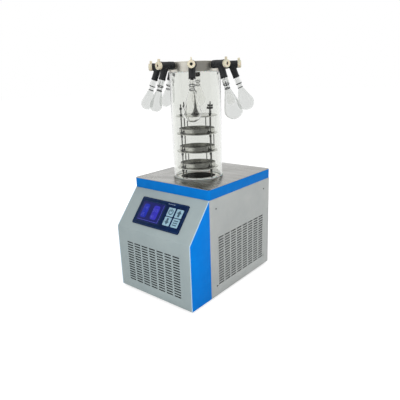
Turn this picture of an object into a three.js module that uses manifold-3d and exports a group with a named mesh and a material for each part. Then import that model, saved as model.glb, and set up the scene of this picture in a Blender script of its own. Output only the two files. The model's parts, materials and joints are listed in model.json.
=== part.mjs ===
// Bench-top freeze dryer. A refrigerated cabinet with a sloped control face carries a stainless
// worktop. A clear chamber stands over the cold trap, with a tray rack inside it and a manifold
// head on top, and eight rubber valves on the head hold glass flasks.
// Axes: +X to the right, +Y from the front to the back, +Z up. Millimetres.
import * as THREE from 'three';
import { mergeVertices } from 'three/addons/utils/BufferGeometryUtils.js';
import Module from 'manifold-3d';

const wasm = await Module();
wasm.setup();

// ---------------------------------------------------------------- driving dimensions
const fit = 0.3;                 // gap between pieces that touch
const drumSides = 32;            // facets of the large round pieces
const tubeSides = 12;            // facets of tubes, knobs and flasks
const boreSides = 8;             // facets of small bores

// Cabinet
const cabinetWidth = 450;
const cabinetDepth = 631;
const footHeight = 10;
const footRadius = 18;
const footInset = 55;            // foot centre from the cabinet's edges
const footChamfer = 2;
const kneeHeight = 313;          // where the front face turns back into the slope
const slopeSetback = 135;        // how far back the slope reaches the trim
const worktopHeight = 521;
const worktopThickness = 2;
const trimHeight = 47;
const trimProud = 2.5;           // how far the trim stands out past the panels
const trimWall = 2;
const trimLedge = 20;            // width of the trim's folded ledges
const trimCornerRadius = 14;
const sheet = 1.5;               // sheet steel of the covers
const foldedEdge = 15;           // width of the front cover's top fold
const cheekThickness = 8;        // blue side cheeks behind the front cover
const panHeight = 25;

// Ventilation slots
const slotLength = 38;
const slotHeight = 5;
const slotRowPitch = 12.5;
const frontSlotPitch = 48;
const frontSlotBottom = 58;      // height of the lowest row
const frontSlotMargin = 60;      // least distance from the slots to the cheeks and to the knee
const sideSlotPitch = 48.6;
const sideSlotBottom = 63;
const sideSlotFront = 78;        // first column, from the foot of the slope
const sideSlotMargin = 50;       // least distance from the last column's middle to the back
const sideSlotDrop = 20;         // least distance from the top row to the knee

// Control panel on the slope
const panelWidth = 286;
const panelHeight = 135;
const panelThickness = 4;
const panelDrop = 4;             // how far the panel sits below the slope's middle
const panelCornerRadius = 9;
const displayWidth = 136;
const displayHeight = 94;
const displayRecess = 0.4;
const displayCentre = -58;
const keyWidth = 38.5;
const keyHeight = 40.5;
const keyGap = 4;                // between the upper and the lower key
const keyColumnGap = 9.5;
const keyColumnCount = 2;
const firstKeyColumn = 57;       // middle of the first column, from the panel's
const keyProud = 0.5;
const keyTravel = 0.8;
const keyClearance = 0.4;

// Cold trap under the worktop
const chamberY = 340;            // chamber axis from the cabinet's front
const trapShoulder = 27.5;       // from the chamber's inner wall to the trap's
const trapWall = 1.5;
const trapDepth = 165;
const trapFloorThickness = 3;
const trapRimChamfer = 2;
const trapFlangeGap = 11.5;      // from the chamber's inner wall to the trap's flange

// Chamber
const chamberRadius = 116.5;
const chamberWall = 7;
const chamberHeight = 468;
const gasketThickness = 3;
const gasketLip = 1.5;           // how far a gasket stands out past the wall it seals

// Manifold head and its ports
const headOverhang = 2.5;        // how far the head stands out past the chamber
const headHeight = 42;
const headRim = 8;               // thick ring at the head's lower edge
const headWall = 2;
const headTop = 3;
const portCount = 8;
const firstPortAngle = -54;      // degrees from +X
const portHeight = 26;           // port axis above the head's lower edge
const stubRadius = 10;
const stubWall = 2.5;
const stubLength = 38;           // out of the head's wall
const stubCollarRadius = 15;
const stubCollarLength = 26;     // out of the head's wall, to where a valve's barrel starts

// Rubber valves
const valveBarrelEnd = 73;       // out of the head's wall
const valveRadius = 17;
const valveArmOffset = 46;       // where the arm's axis leaves the barrel's, from the head's wall
const valveArmTilt = 21.6;       // degrees outward from straight down
const valveArmLength = 62;
const valveArmTopRadius = 15;
const valveArmEndRadius = 13.5;
const valvePassage = 6;
const valveClearance = 0.4;      // round the stub and round the flask's neck
const spigotDepth = 24;          // how deep the flask's neck goes into the arm

// Valve knobs
const knobRadius = 16;
const knobThickness = 16;
const knobFinReach = 27;
const knobFinWidth = 7;
const knobFinThickness = 11.2;
const knobStemRadius = 6;
const knobStemLength = 17;
const knobHoleRadius = 5.5;
const knobHoleDepth = 9;
const knobClearance = 0.6;

// Flasks: bulb diameter and length below the neck
const largeFlask = { diameter: 79, length: 132 };
const mediumFlask = { diameter: 75, length: 106 };
const smallFlask = { diameter: 56, length: 90 };
const flasks = [
  largeFlask, largeFlask, mediumFlask, smallFlask,
  mediumFlask, smallFlask, smallFlask, smallFlask,
];
const flaskWall = 2;
const flaskSpigotRadius = 9.6;
const flaskCollarStart = 1.5;    // where the neck swells out below the valve's arm
const flaskCollarEnd = 5;
const flaskNeckRadius = 13.5;
const flaskNeckStraight = 26.4;
const flaskNeckLength = 48;
const flaskWaistRadius = 10.5;
const flaskShoulderRadius = 15.75;
const flaskShoulderDrop = 10;    // from the waist to the shoulder
const flaskBulbStart = 25;       // degrees above the bulb's widest part

// Rack and trays
const rackLevels = [46, 123, 204];   // tray bottoms above the worktop
const rackTopLevel = 283;
const rackClearance = 13.5;      // from the rack's plates to the chamber
const rackPlateThickness = 1.5;
const rackRodRadius = 3;
const rackRodInset = 5;          // from a plate's edge to the rod's axis
const rackRodTop = 336;
const handleTop = 390;
const handleRadius = 4.5;
const handleTipRadius = 2.5;
const handleTipLength = 3;
const handleHubRadius = 26;
const handleHubRim = 4;          // straight edge of the hub
const handleNeckRadius = 11.7;
const handleNeckHeight = 22;     // above the hub's underside
const handleThroatRadius = 7.8;
const handleThroatHeight = 50;
const handleTaper = 6;           // from the throat to the plain rod
const handleLap = 1;             // how deep the hub is let into the top plate
const trayClearance = 4;         // from a tray to the rack's rods
const trayHeight = 21;
const trayWall = 1.2;
const trayCorner = 4;
const trayFloorCorner = 3.5;

// Refrigeration unit in the cabinet
const condenserWidth = 340;
const condenserHeight = 250;
const condenserDepth = 40;
const condenserFront = 40;
const condenserEndPlate = 2;     // thickness of its end plates
const condenserFinInset = 1.5;   // how far the fins lie inside the end plates' edges
const fanRadius = 98;
const fanTipClearance = 5;
const fanHubRadius = 24;
const fanHubLength = 24;
const fanBlades = 5;
const fanBladeThickness = 2;
const fanBladeWidth = 46;
const fanBladeRoot = 4;          // how deep a blade is let into the hub
const fanBladePitch = 28;        // degrees
const fanGap = 4;                // from the shroud's front to the rotor
const fanBoreStart = 4;
const ductDepth = 32;
const shroudSheet = 2;
const motorArmHeight = 16;
const motorArmThickness = 12;
const motorRadius = 36;
const motorLength = 55;
const motorShaftRadius = 4;
const motorShaftStart = 6;       // from the rotor's front
const motorGap = 8;              // from the duct to the motor
const shaftClearance = 0.6;
const compressorRadius = 78;
const compressorHeight = 185;
const compressorDome = 45;       // height of the rounded top, and of the bottom's curve
const compressorBase = 8;        // underside of the shell
const compressorBaseInset = 25;  // from the shell's side to its flat underside
const compressorTuckInset = 5;   // from the shell's side to the bottom curve's upper point
const compressorTuckHeight = 25;
const compressorSeam = 95;       // middle of the weld seam
const compressorSeamProud = 3;
const compressorSeamWidth = 6;
const bracketWidth = 56;
const bracketBottom = 3;
const bracketTop = 12;
const grommetRadius = 10;
const grommetInset = 14;         // grommet's axis from the bracket's end
const compressorX = 105;
const compressorFromBack = 141;

// Back panel fittings
const portTubeRadius = 14;
const portTubeBore = 11;
const portTrimGap = 7;           // from the port's collar up to the trim
const portProud = 40;            // how far the port stands out of the back
const portFlangeRadius = 20;
const portFlangeThickness = 4;
const portCollarRadius = 26;
const portCollarThickness = 3;
const inletX = -140;
const inletHeight = 90;
const inletWidth = 70;
const inletTall = 34;
const inletFlange = 2.5;
const inletMargin = 8;           // from the moulding's ends to the socket and the switch
const inletDepth = 24;
const socketWidth = 25;
const socketTall = 17;
const socketDepth = 16;
const socketPinPitch = 7;
const socketPinWidth = 2;
const socketPinTall = 4;
const socketPinDrop = 4;         // pins' ends below the moulding's face
const rockerWidth = 13;
const rockerTall = 19;
const rockerDepth = 8;
const rockerTilt = 7;            // degrees either side of level
const rockerClearance = 0.5;
const rockerSpace = 4;           // depth behind the rocker
const rockerBackWidth = 6;

// ---------------------------------------------------------------- materials
const paint = (color, roughness, metalness = 0) =>
  new THREE.MeshStandardMaterial({ color, roughness, metalness });
const greyPaint = paint(0xc9cfd0, 0.5);
const bluePaint = paint(0x1f86d8, 0.4);
const steel = paint(0xc8ccce, 0.22, 1);
const galvanised = paint(0xaeb2b4, 0.45, 0.9);
const navy = paint(0x14223c, 0.3);
const screenGlass = paint(0x3340b0, 0.15);
const keyFilm = paint(0x8fbdd6, 0.45);
const blackRubber = paint(0x17191a, 0.7);
const ivory = paint(0xe6dcc0, 0.45);
const clearAcrylic = paint(0xe9eef0, 0.05);
const glass = paint(0xdfe5e5, 0.05);
const silicone = paint(0xdedede, 0.6);
const blackPaint = paint(0x1c1d1f, 0.5);
const aluminium = paint(0xb8bcc0, 0.4, 1);

// ---------------------------------------------------------------- shape helpers
const radians = THREE.MathUtils.degToRad;

// A closed geometry as a solid that can be joined and cut.
function solid(geometry) {
  const bare = geometry.clone();
  bare.deleteAttribute('normal');
  bare.deleteAttribute('uv');
  const merged = mergeVertices(bare, 1e-4);
  const triVerts = [];
  const { array } = merged.index;
  for (let i = 0; i < array.length; i += 3) {
    const [a, b, c] = [array[i], array[i + 1], array[i + 2]];
    if (a !== b && b !== c && c !== a) triVerts.push(a, b, c);
  }
  return new wasm.Manifold(new wasm.Mesh({
    numProp: 3,
    vertProperties: new Float32Array(merged.attributes.position.array),
    triVerts: new Uint32Array(triVerts),
  }));
}

const join = (...geometries) => geometries.map(solid).reduce((whole, next) => whole.add(next));

const cut = (body, ...tools) => tools.reduce((rest, tool) => rest.subtract(solid(tool)), body);

function geometryOf(body) {
  const mesh = body.getMesh();
  const geometry = new THREE.BufferGeometry();
  geometry.setAttribute('position', new THREE.BufferAttribute(mesh.vertProperties, 3));
  geometry.setIndex(new THREE.BufferAttribute(mesh.triVerts, 1));
  geometry.computeVertexNormals();
  return geometry;
}

function piece(name, shape, material) {
  const body = shape.isBufferGeometry ? solid(shape) : shape;
  const mesh = new THREE.Mesh(geometryOf(body), material);
  mesh.name = name;
  return mesh;
}

// A box given by its lowest and highest corner.
function box(x0, x1, y0, y1, z0, z1) {
  return new THREE.BoxGeometry(x1 - x0, y1 - y0, z1 - z0)
    .translate((x0 + x1) / 2, (y0 + y1) / 2, (z0 + z1) / 2);
}

// A round rod standing on z0, tapering from its lower to its upper radius.
function rod(radius, z0, z1, segments = tubeSides, upperRadius = radius) {
  return new THREE.CylinderGeometry(upperRadius, radius, z1 - z0, segments)
    .rotateX(Math.PI / 2)
    .translate(0, 0, (z0 + z1) / 2);
}

// The same rod lying along +X or +Y.
const rodX = (radius, x0, x1, segments) => rod(radius, x0, x1, segments).rotateY(Math.PI / 2);
const rodY = (radius, y0, y1, segments) => rod(radius, -y1, -y0, segments).rotateX(Math.PI / 2);

// A body turned round the Z axis from [radius, height] points.
function turned(points, segments = tubeSides) {
  const profile = points.map(([radius, height]) => new THREE.Vector2(radius, height));
  return new THREE.LatheGeometry(profile, segments).rotateX(Math.PI / 2);
}

const ring = (inner, outer, z0, z1) =>
  turned([[inner, z0], [outer, z0], [outer, z1], [inner, z1], [inner, z0]], drumSides);

function extruded(shape, depth, curveSegments = 3) {
  return new THREE.ExtrudeGeometry(shape, { depth, bevelEnabled: false, curveSegments });
}

const outline = (points) => new THREE.Shape(points.map(([x, y]) => new THREE.Vector2(x, y)));

function roundedRectangle(x0, x1, y0, y1, radius) {
  const shape = new THREE.Shape();
  shape.moveTo(x0 + radius, y0);
  shape.lineTo(x1 - radius, y0);
  shape.absarc(x1 - radius, y0 + radius, radius, -Math.PI / 2, 0);
  shape.lineTo(x1, y1 - radius);
  shape.absarc(x1 - radius, y1 - radius, radius, 0, Math.PI / 2);
  shape.lineTo(x0 + radius, y1);
  shape.absarc(x0 + radius, y1 - radius, radius, Math.PI / 2, Math.PI);
  shape.lineTo(x0, y0 + radius);
  shape.absarc(x0 + radius, y0 + radius, radius, Math.PI, 1.5 * Math.PI);
  return shape;
}

// The section of a sheet folded along a line of points, with its thickness on the left of the line.
function foldedSheet(points, thickness) {
  const line = points.map(([x, y]) => new THREE.Vector2(x, y));
  const normals = line.slice(1).map((point, i) => {
    const along = point.clone().sub(line[i]).normalize();
    return new THREE.Vector2(-along.y, along.x);
  });
  const inner = line.map((point, i) => {
    const before = normals[Math.max(i - 1, 0)];
    const after = normals[Math.min(i, normals.length - 1)];
    const mitre = before.clone().add(after);
    return point.clone().addScaledVector(mitre, thickness / (1 + before.dot(after)));
  });
  return new THREE.Shape([...line, ...inner.reverse()]);
}

// A section in the Y-Z plane drawn out along +X from x0.
function drawnAlongX(shape, x0, x1) {
  return extruded(shape, x1 - x0).rotateX(Math.PI / 2).rotateZ(Math.PI / 2).translate(x0, 0, 0);
}

// A section in the X-Z plane drawn out along +Y from y0.
function drawnAlongY(shape, y0, y1) {
  return extruded(shape, y1 - y0).rotateX(Math.PI / 2).translate(0, y1, 0);
}

// ---------------------------------------------------------------- levels shared by the pieces
const halfWidth = cabinetWidth / 2;
const trimBottom = worktopHeight - trimHeight;
const coverTop = trimBottom - fit;
const floorLevel = footHeight + sheet + fit;         // what stands on the base pan starts here
const backFace = cabinetDepth - sheet;               // inside of the rear panel
const cheekInside = halfWidth - cheekThickness;
const chamberInside = chamberRadius - chamberWall;
const trapRadius = chamberInside - trapShoulder;
const trapFlangeRadius = chamberInside - trapFlangeGap;
const headRadius = chamberRadius + headOverhang;
const stubReach = headRadius + stubLength;
const stubCollarReach = headRadius + stubCollarLength;
const stubBore = stubRadius - stubWall;
const valveReach = headRadius + valveBarrelEnd;
const valveArmRoot = headRadius + valveArmOffset;
const portDrop = trimHeight + portCollarRadius + portTrimGap;   // port's axis below the worktop
const chamberBottom = worktopHeight + gasketThickness + 2 * fit;
const chamberTop = chamberBottom + chamberHeight;
const headBottom = chamberTop + gasketThickness + 2 * fit;
const portLevel = headBottom + portHeight;
const slopeAngle = Math.atan2(coverTop - kneeHeight, slopeSetback);
const slopeLength = Math.hypot(coverTop - kneeHeight, slopeSetback);

// ---------------------------------------------------------------- cabinet
function slotField(columns, rows, columnPitch, makeSlot) {
  const slots = [];
  for (let column = 0; column < columns; column += 1) {
    for (let row = 0; row < rows; row += 1) {
      slots.push(makeSlot(column * columnPitch, row * slotRowPitch));
    }
  }
  return slots;
}

// How many slots of a pitch fit in a length that runs between the first and the last one's middles.
const slotCount = (length, pitch) => Math.floor(length / pitch) + 1;

function makeFrontCover() {
  const columns = slotCount(2 * (cheekInside - frontSlotMargin), frontSlotPitch);
  const rows = slotCount(kneeHeight - frontSlotMargin - frontSlotBottom, slotRowPitch);
  const section = foldedSheet([
    [slopeSetback + foldedEdge, coverTop], [slopeSetback, coverTop],
    [0, kneeHeight], [0, footHeight],
  ], sheet);
  const cover = solid(drawnAlongX(section, -halfWidth, halfWidth));
  const firstColumn = -frontSlotPitch * (columns - 1) / 2;
  const slots = slotField(columns, rows, frontSlotPitch, (x, z) => box(
    firstColumn + x - slotLength / 2, firstColumn + x + slotLength / 2, -sheet, 2 * sheet,
    frontSlotBottom + z - slotHeight / 2, frontSlotBottom + z + slotHeight / 2,
  ));
  // The folded top edge stops short of the side panels.
  const corners = [-1, 1].map((side) => {
    const [inner, outer] = [side * (cheekInside - fit), side * (halfWidth + 1)];
    return box(
      Math.min(inner, outer), Math.max(inner, outer), slopeSetback, slopeSetback + 2 * foldedEdge,
      kneeHeight, coverTop + 1,
    );
  });
  return cut(cover, ...slots, ...corners);
}

// A cheek fills the space behind the cover's side edge.
function makeCheek(side) {
  const behind = sheet + fit;
  const drop = behind / Math.cos(slopeAngle);
  const face = outline([
    [behind, footHeight], [slopeSetback, footHeight], [slopeSetback, coverTop - drop],
    [behind, kneeHeight + behind * Math.tan(slopeAngle) - drop],
  ]);
  const inner = side * cheekInside;
  const outer = side * halfWidth;
  return drawnAlongX(face, Math.min(inner, outer), Math.max(inner, outer));
}

function makeSidePanel(side) {
  const fold = [
    [side * (cheekInside + fit), coverTop], [side * halfWidth, coverTop],
    [side * halfWidth, footHeight],
  ];
  const section = foldedSheet(side > 0 ? fold.reverse() : fold, sheet);
  return drawnAlongY(section, slopeSetback + fit, cabinetDepth);
}

function makeVentedSidePanel() {
  const first = slopeSetback + sideSlotFront;
  const columns = slotCount(cabinetDepth - sideSlotMargin - first, sideSlotPitch);
  const rows = slotCount(kneeHeight - sideSlotDrop - sideSlotBottom, slotRowPitch);
  const slots = slotField(columns, rows, sideSlotPitch, (y, z) => box(
    halfWidth - 2 * sheet, halfWidth + sheet,
    first + y - slotLength / 2, first + y + slotLength / 2,
    sideSlotBottom + z - slotHeight / 2, sideSlotBottom + z + slotHeight / 2,
  ));
  return cut(solid(makeSidePanel(1)), ...slots);
}

function makeRearPanel() {
  const edge = halfWidth - sheet - fit;
  const top = coverTop - sheet - fit;
  const panel = solid(box(-edge, edge, backFace, cabinetDepth, footHeight, top));
  const portHole = rodY(portTubeRadius + fit, backFace - 1, cabinetDepth + 1)
    .translate(0, 0, worktopHeight - portDrop);
  const inletHole = box(
    inletX - inletWidth / 2 + inletFlange, inletX + inletWidth / 2 - inletFlange,
    backFace - 1, cabinetDepth + 1,
    inletHeight - inletTall / 2 + inletFlange, inletHeight + inletTall / 2 - inletFlange,
  );
  return cut(panel, portHole, inletHole);
}

// The pan is narrower in front, where it passes between the cheeks.
function panOutline(inset) {
  const narrow = cheekInside - fit - inset;
  const wide = halfWidth - sheet - fit - inset;
  const front = sheet + fit + inset;
  const step = slopeSetback + fit + inset;
  const back = backFace - fit - inset;
  return outline([
    [-narrow, front], [narrow, front], [narrow, step], [wide, step],
    [wide, back], [-wide, back], [-wide, step], [-narrow, step],
  ]);
}

function makeBasePan() {
  const block = extruded(panOutline(0), panHeight).translate(0, 0, footHeight);
  const hollow = extruded(panOutline(sheet), panHeight).translate(0, 0, footHeight + sheet);
  return cut(solid(block), hollow);
}

function makeFoot() {
  const top = footHeight - fit;
  return turned([
    [0, 0], [footRadius - footChamfer, 0], [footRadius, footChamfer],
    [footRadius - footChamfer / 2, top], [0, top],
  ]);
}

// Outline of the trim, moved in by the given amount.
function trimOutline(inset) {
  return roundedRectangle(
    -halfWidth - trimProud + inset, halfWidth + trimProud - inset,
    slopeSetback - trimProud + inset, cabinetDepth + trimProud - inset,
    Math.max(trimCornerRadius - inset, 1),
  );
}

function makeTrim() {
  const top = worktopHeight - worktopThickness - fit;
  const frame = extruded(trimOutline(0), top - trimBottom).translate(0, 0, trimBottom);
  const hollow = extruded(trimOutline(trimWall), top - trimBottom - 2 * trimWall)
    .translate(0, 0, trimBottom + trimWall);
  const middle = extruded(trimOutline(trimLedge), trimHeight + 2).translate(0, 0, trimBottom - 1);
  return cut(solid(frame), hollow, middle);
}

function makeWorktop() {
  const bottom = worktopHeight - worktopThickness;
  const plate = extruded(trimOutline(trimWall / 4), worktopThickness).translate(0, 0, bottom);
  const mouth = rod(trapRadius + trapWall + 2 * fit, bottom - 1, worktopHeight + 1, drumSides)
    .translate(0, chamberY, 0);
  return cut(solid(plate), mouth);
}

// ---------------------------------------------------------------- control panel
const panelMiddle = slopeLength / 2 - panelDrop;
const keyRows = [(keyHeight + keyGap) / 2, -(keyHeight + keyGap) / 2];
const keyColumns = Array.from(
  { length: keyColumnCount }, (_, i) => firstKeyColumn + i * (keyWidth + keyColumnGap),
);

const block = (width, height, x, y, bottom, top) => box(
  x - width / 2, x + width / 2, panelMiddle + y - height / 2, panelMiddle + y + height / 2,
  bottom, top,
);

function makeControlPanel() {
  const face = roundedRectangle(
    -panelWidth / 2, panelWidth / 2,
    panelMiddle - panelHeight / 2, panelMiddle + panelHeight / 2, panelCornerRadius,
  );
  const plate = solid(extruded(face, panelThickness).translate(0, 0, fit));
  const top = fit + panelThickness + 1;
  const displayWindow = block(
    displayWidth + 2 * fit, displayHeight + 2 * fit, displayCentre, 0, -1, top,
  );
  const keyHoles = keyColumns.flatMap((x) => keyRows.map((y) => block(
    keyWidth + 2 * keyClearance, keyHeight + 2 * keyClearance, x, y, -1, top,
  )));
  return cut(plate, displayWindow, ...keyHoles);
}

const makeDisplay = () => block(
  displayWidth, displayHeight, displayCentre, 0, fit, fit + panelThickness - displayRecess,
);

const makeKey = (x, y) => block(
  keyWidth, keyHeight, x, y, keyTravel + 2 * fit, fit + panelThickness + keyProud,
);

function makeControls() {
  const controls = new THREE.Group();
  controls.position.z = kneeHeight;
  controls.rotation.x = slopeAngle;
  controls.add(piece('control_panel', makeControlPanel(), navy));
  controls.add(piece('display', makeDisplay(), screenGlass));
  let number = 1;
  for (const x of keyColumns) {
    for (const y of keyRows) {
      controls.add(piece(`key_${number}`, makeKey(x, y), keyFilm));
      number += 1;
    }
  }
  return controls;
}

// ---------------------------------------------------------------- refrigeration unit
function makeColdTrap() {
  const bottom = -trapDepth - trapFloorThickness;
  const wall = turned([
    [trapRadius, bottom], [trapRadius + trapWall, bottom], [trapRadius + trapWall, fit],
    [trapFlangeRadius, fit], [trapFlangeRadius, fit + trapWall],
    [trapRadius + trapRimChamfer, fit + trapWall], [trapRadius, fit], [trapRadius, bottom],
  ], drumSides).translate(0, chamberY, worktopHeight);
  const outlet = rodY(portTubeBore, 0, trapRadius + 2 * trapWall)
    .translate(0, chamberY, worktopHeight - portDrop);
  return cut(solid(wall), outlet);
}

// The floor plate is let into the bottom end of the trap's wall.
function makeTrapFloor() {
  return rod(trapRadius - fit, -trapDepth - trapFloorThickness, -trapDepth, drumSides)
    .translate(0, chamberY, worktopHeight);
}

// A dense stack of fins between two end plates.
function makeCondenser() {
  const half = condenserWidth / 2;
  const inset = condenserFinInset;
  const endPlates = [-half, half - condenserEndPlate].map((x) => box(
    x, x + condenserEndPlate, 0, condenserDepth, 0, condenserHeight,
  ));
  const fins = box(
    -half + 1, half - 1, inset, condenserDepth - inset, inset, condenserHeight - inset,
  );
  return join(fins, ...endPlates).translate([0, condenserFront, floorLevel]);
}

const ductFront = condenserFront + condenserDepth + fit;
const fanLevel = floorLevel + condenserHeight / 2;
const fanFront = ductFront + fanGap;
const motorFront = ductFront + ductDepth + motorGap;

function makeFanShroud() {
  const ductRadius = fanRadius + fanTipClearance;
  const half = condenserWidth / 2;
  const ductEnd = ductFront + ductDepth;
  const plate = box(
    -half, half, ductFront, ductFront + shroudSheet, -condenserHeight / 2, condenserHeight / 2,
  );
  const duct = rodY(ductRadius + shroudSheet, ductFront, ductEnd, drumSides);
  const arm = box(
    -ductRadius - shroudSheet / 2, ductRadius + shroudSheet / 2,
    ductEnd - shroudSheet / 2, ductEnd - shroudSheet / 2 + motorArmThickness,
    -motorArmHeight / 2, motorArmHeight / 2,
  );
  const motor = rodY(motorRadius, motorFront, motorFront + motorLength, drumSides / 2);
  const shaft = rodY(motorShaftRadius, fanFront + motorShaftStart, motorFront + 1);
  const opening = rodY(ductRadius, ductFront - 1, ductEnd - sheet, drumSides);
  const rear = rodY(ductRadius - shroudSheet, ductFront, ductEnd + 1, drumSides);
  return cut(join(plate, duct), opening, rear)
    .add(join(arm, motor, shaft))
    .translate([0, 0, fanLevel]);
}

function makeFanRotor() {
  const middle = fanHubLength / 2;
  const root = fanHubRadius - fanBladeRoot;
  const blades = [];
  for (let i = 0; i < fanBlades; i += 1) {
    blades.push(new THREE.BoxGeometry(fanBladeThickness, fanBladeWidth, fanRadius - root)
      .rotateZ(radians(90 - fanBladePitch))
      .translate(0, middle, (fanRadius + root) / 2)
      .rotateY((i * 2 * Math.PI) / fanBlades));
  }
  const hub = rodY(fanHubRadius, 0, fanHubLength, drumSides / 2);
  const bore = rodY(motorShaftRadius + shaftClearance, fanBoreStart, fanHubLength + 1);
  return cut(join(hub, ...blades), bore);
}

function makeCompressor() {
  const radius = compressorRadius;
  const dome = compressorDome;
  const seam = radius + compressorSeamProud;
  const seamBottom = compressorSeam - compressorSeamWidth / 2;
  const seamTop = compressorSeam + compressorSeamWidth / 2;
  const shell = [];
  const steps = 3;
  for (let i = 0; i <= steps; i += 1) {
    const angle = (i / steps) * (Math.PI / 2);
    shell.push([radius * Math.cos(angle), compressorHeight - dome + dome * Math.sin(angle)]);
  }
  const can = turned([
    [0, compressorBase], [radius - compressorBaseInset, compressorBase],
    [radius - compressorTuckInset, compressorTuckHeight], [radius, dome],
    [radius, seamBottom], [seam, seamBottom], [seam, seamTop], [radius, seamTop], ...shell,
  ], drumSides / 2);
  const bracket = box(
    -radius, radius, -bracketWidth / 2, bracketWidth / 2, bracketBottom, bracketTop,
  );
  const grommets = [-1, 1].map((side) => rod(grommetRadius, 0, 2 * bracketBottom)
    .translate(side * (radius - grommetInset), 0, 0));
  return join(can, bracket, ...grommets);
}

// ---------------------------------------------------------------- back fittings
function makeVacuumPort() {
  const start = chamberY + trapRadius + trapWall + 2 * fit;
  const end = cabinetDepth + portProud;
  const tube = rodY(portTubeRadius, start, end);
  const collar = rodY(portCollarRadius, backFace - fit - portCollarThickness, backFace - fit);
  const flange = rodY(portFlangeRadius, end - portFlangeThickness, end);
  const bore = rodY(portTubeBore, start - 1, end + 1);
  return cut(join(tube, collar, flange), bore).translate([0, 0, worktopHeight - portDrop]);
}

// One moulding holds the mains socket and the rocker switch's pocket.
const socketX = -inletWidth / 2 + inletMargin + socketWidth / 2;
const rockerX = inletWidth / 2 - inletMargin - rockerWidth / 2;

function makePowerInlet() {
  const face = inletFlange;
  const plate = box(-inletWidth / 2, inletWidth / 2, 0, face, -inletTall / 2, inletTall / 2);
  const inset = inletFlange + fit;
  const block = box(
    -inletWidth / 2 + inset, inletWidth / 2 - inset, -inletDepth, 0.5,
    -inletTall / 2 + inset, inletTall / 2 - inset,
  );
  const socket = box(
    socketX - socketWidth / 2, socketX + socketWidth / 2, face - socketDepth, face + 1,
    -socketTall / 2, socketTall / 2,
  );
  const pocket = box(
    rockerX - rockerWidth / 2 - rockerClearance, rockerX + rockerWidth / 2 + rockerClearance,
    face - rockerDepth - rockerSpace, face + 1,
    -rockerTall / 2 - rockerClearance, rockerTall / 2 + rockerClearance,
  );
  const pins = [-1, 0, 1].map((i) => {
    const x = socketX + i * socketPinPitch;
    const z = i === 0 ? 0 : -socketPinTall;
    return box(
      x - socketPinWidth / 2, x + socketPinWidth / 2, face - socketDepth - 1,
      face - socketPinDrop, z, z + socketPinTall,
    );
  });
  return cut(join(plate, block), socket, pocket)
    .add(join(...pins))
    .translate([inletX, cabinetDepth + fit, inletHeight]);
}

// The rocker's face is a shallow V: either half lies flush when that side is pressed in.
function makeRocker() {
  const half = rockerTall / 2 - 0.6;
  const rise = half * Math.tan(radians(rockerTilt));
  const section = outline([
    [-rockerDepth, -rockerBackWidth / 2], [0, -half], [rise, -half], [0, 0],
    [rise, half], [0, half], [-rockerDepth, rockerBackWidth / 2],
  ]);
  return drawnAlongX(section, -rockerWidth / 2, rockerWidth / 2);
}

// ---------------------------------------------------------------- chamber, head and rack
const portAngle = (port) => radians(firstPortAngle + (port * 360) / portCount);

const makeGasket = () => ring(
  chamberInside - gasketLip, chamberRadius + gasketLip, 0, gasketThickness,
);

function makeManifoldHead() {
  const drum = ring(chamberInside, headRadius, 0, headHeight);
  const lid = rod(headRadius, headHeight - headTop, headHeight, drumSides);
  const inside = rod(headRadius - headWall, headRim, headHeight - headTop, drumSides);
  const stubs = [];
  const bores = [];
  for (let i = 0; i < portCount; i += 1) {
    const angle = portAngle(i);
    for (const [radius, reach] of [[stubRadius, stubReach], [stubCollarRadius, stubCollarReach]]) {
      stubs.push(rodX(radius, headRadius - 2 * headWall, reach)
        .translate(0, 0, portHeight).rotateZ(angle));
    }
    bores.push(rodX(stubBore, headRadius - 3 * headWall, stubReach + 1, boreSides)
      .translate(0, 0, portHeight).rotateZ(angle));
  }
  return cut(join(drum, lid).subtract(solid(inside)).add(join(...stubs)), ...bores);
}

const rackPlateRadius = chamberInside - rackClearance;
const rackRodCircle = rackPlateRadius - rackRodInset;
const trayRadius = rackRodCircle - rackRodRadius - trayClearance;
const rackAngles = [1, 3, 5, 7].map(portAngle);

function makeRackFrame() {
  const plates = [...rackLevels, rackTopLevel].map((level) => rod(
    rackPlateRadius, level - fit - rackPlateThickness, level - fit, drumSides * 0.75,
  ));
  const rods = rackAngles.map((angle) => rod(rackRodRadius, 2 * fit + trapWall, rackRodTop, 6)
    .translate(rackRodCircle * Math.cos(angle), rackRodCircle * Math.sin(angle), 0));
  const hubBase = rackTopLevel - handleLap;
  const throat = hubBase + handleThroatHeight;
  const handle = turned([
    [0, hubBase], [handleHubRadius, hubBase], [handleHubRadius, hubBase + handleHubRim],
    [handleNeckRadius, hubBase + handleNeckHeight], [handleThroatRadius, throat],
    [handleRadius, throat + handleTaper], [handleRadius, handleTop - handleTipLength],
    [handleTipRadius, handleTop], [0, handleTop],
  ]);
  return join(...plates, ...rods, handle);
}

function makeTray() {
  const outer = trayRadius;
  const inner = trayRadius - trayWall;
  return turned([
    [0, 0], [outer - trayCorner, 0], [outer, trayCorner], [outer, trayHeight],
    [inner, trayHeight], [inner, trayCorner + trayWall / 2],
    [inner - trayFloorCorner, trayWall], [0, trayWall],
  ], drumSides * 0.75);
}

// ---------------------------------------------------------------- valves, knobs and flasks
const armTilt = radians(valveArmTilt);

// Turns a shape that stands on +Z so that it points down the valve's arm.
const downTheArm = (geometry) => geometry.rotateX(Math.PI).rotateY(-armTilt)
  .translate(valveArmRoot, 0, 0);

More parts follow.
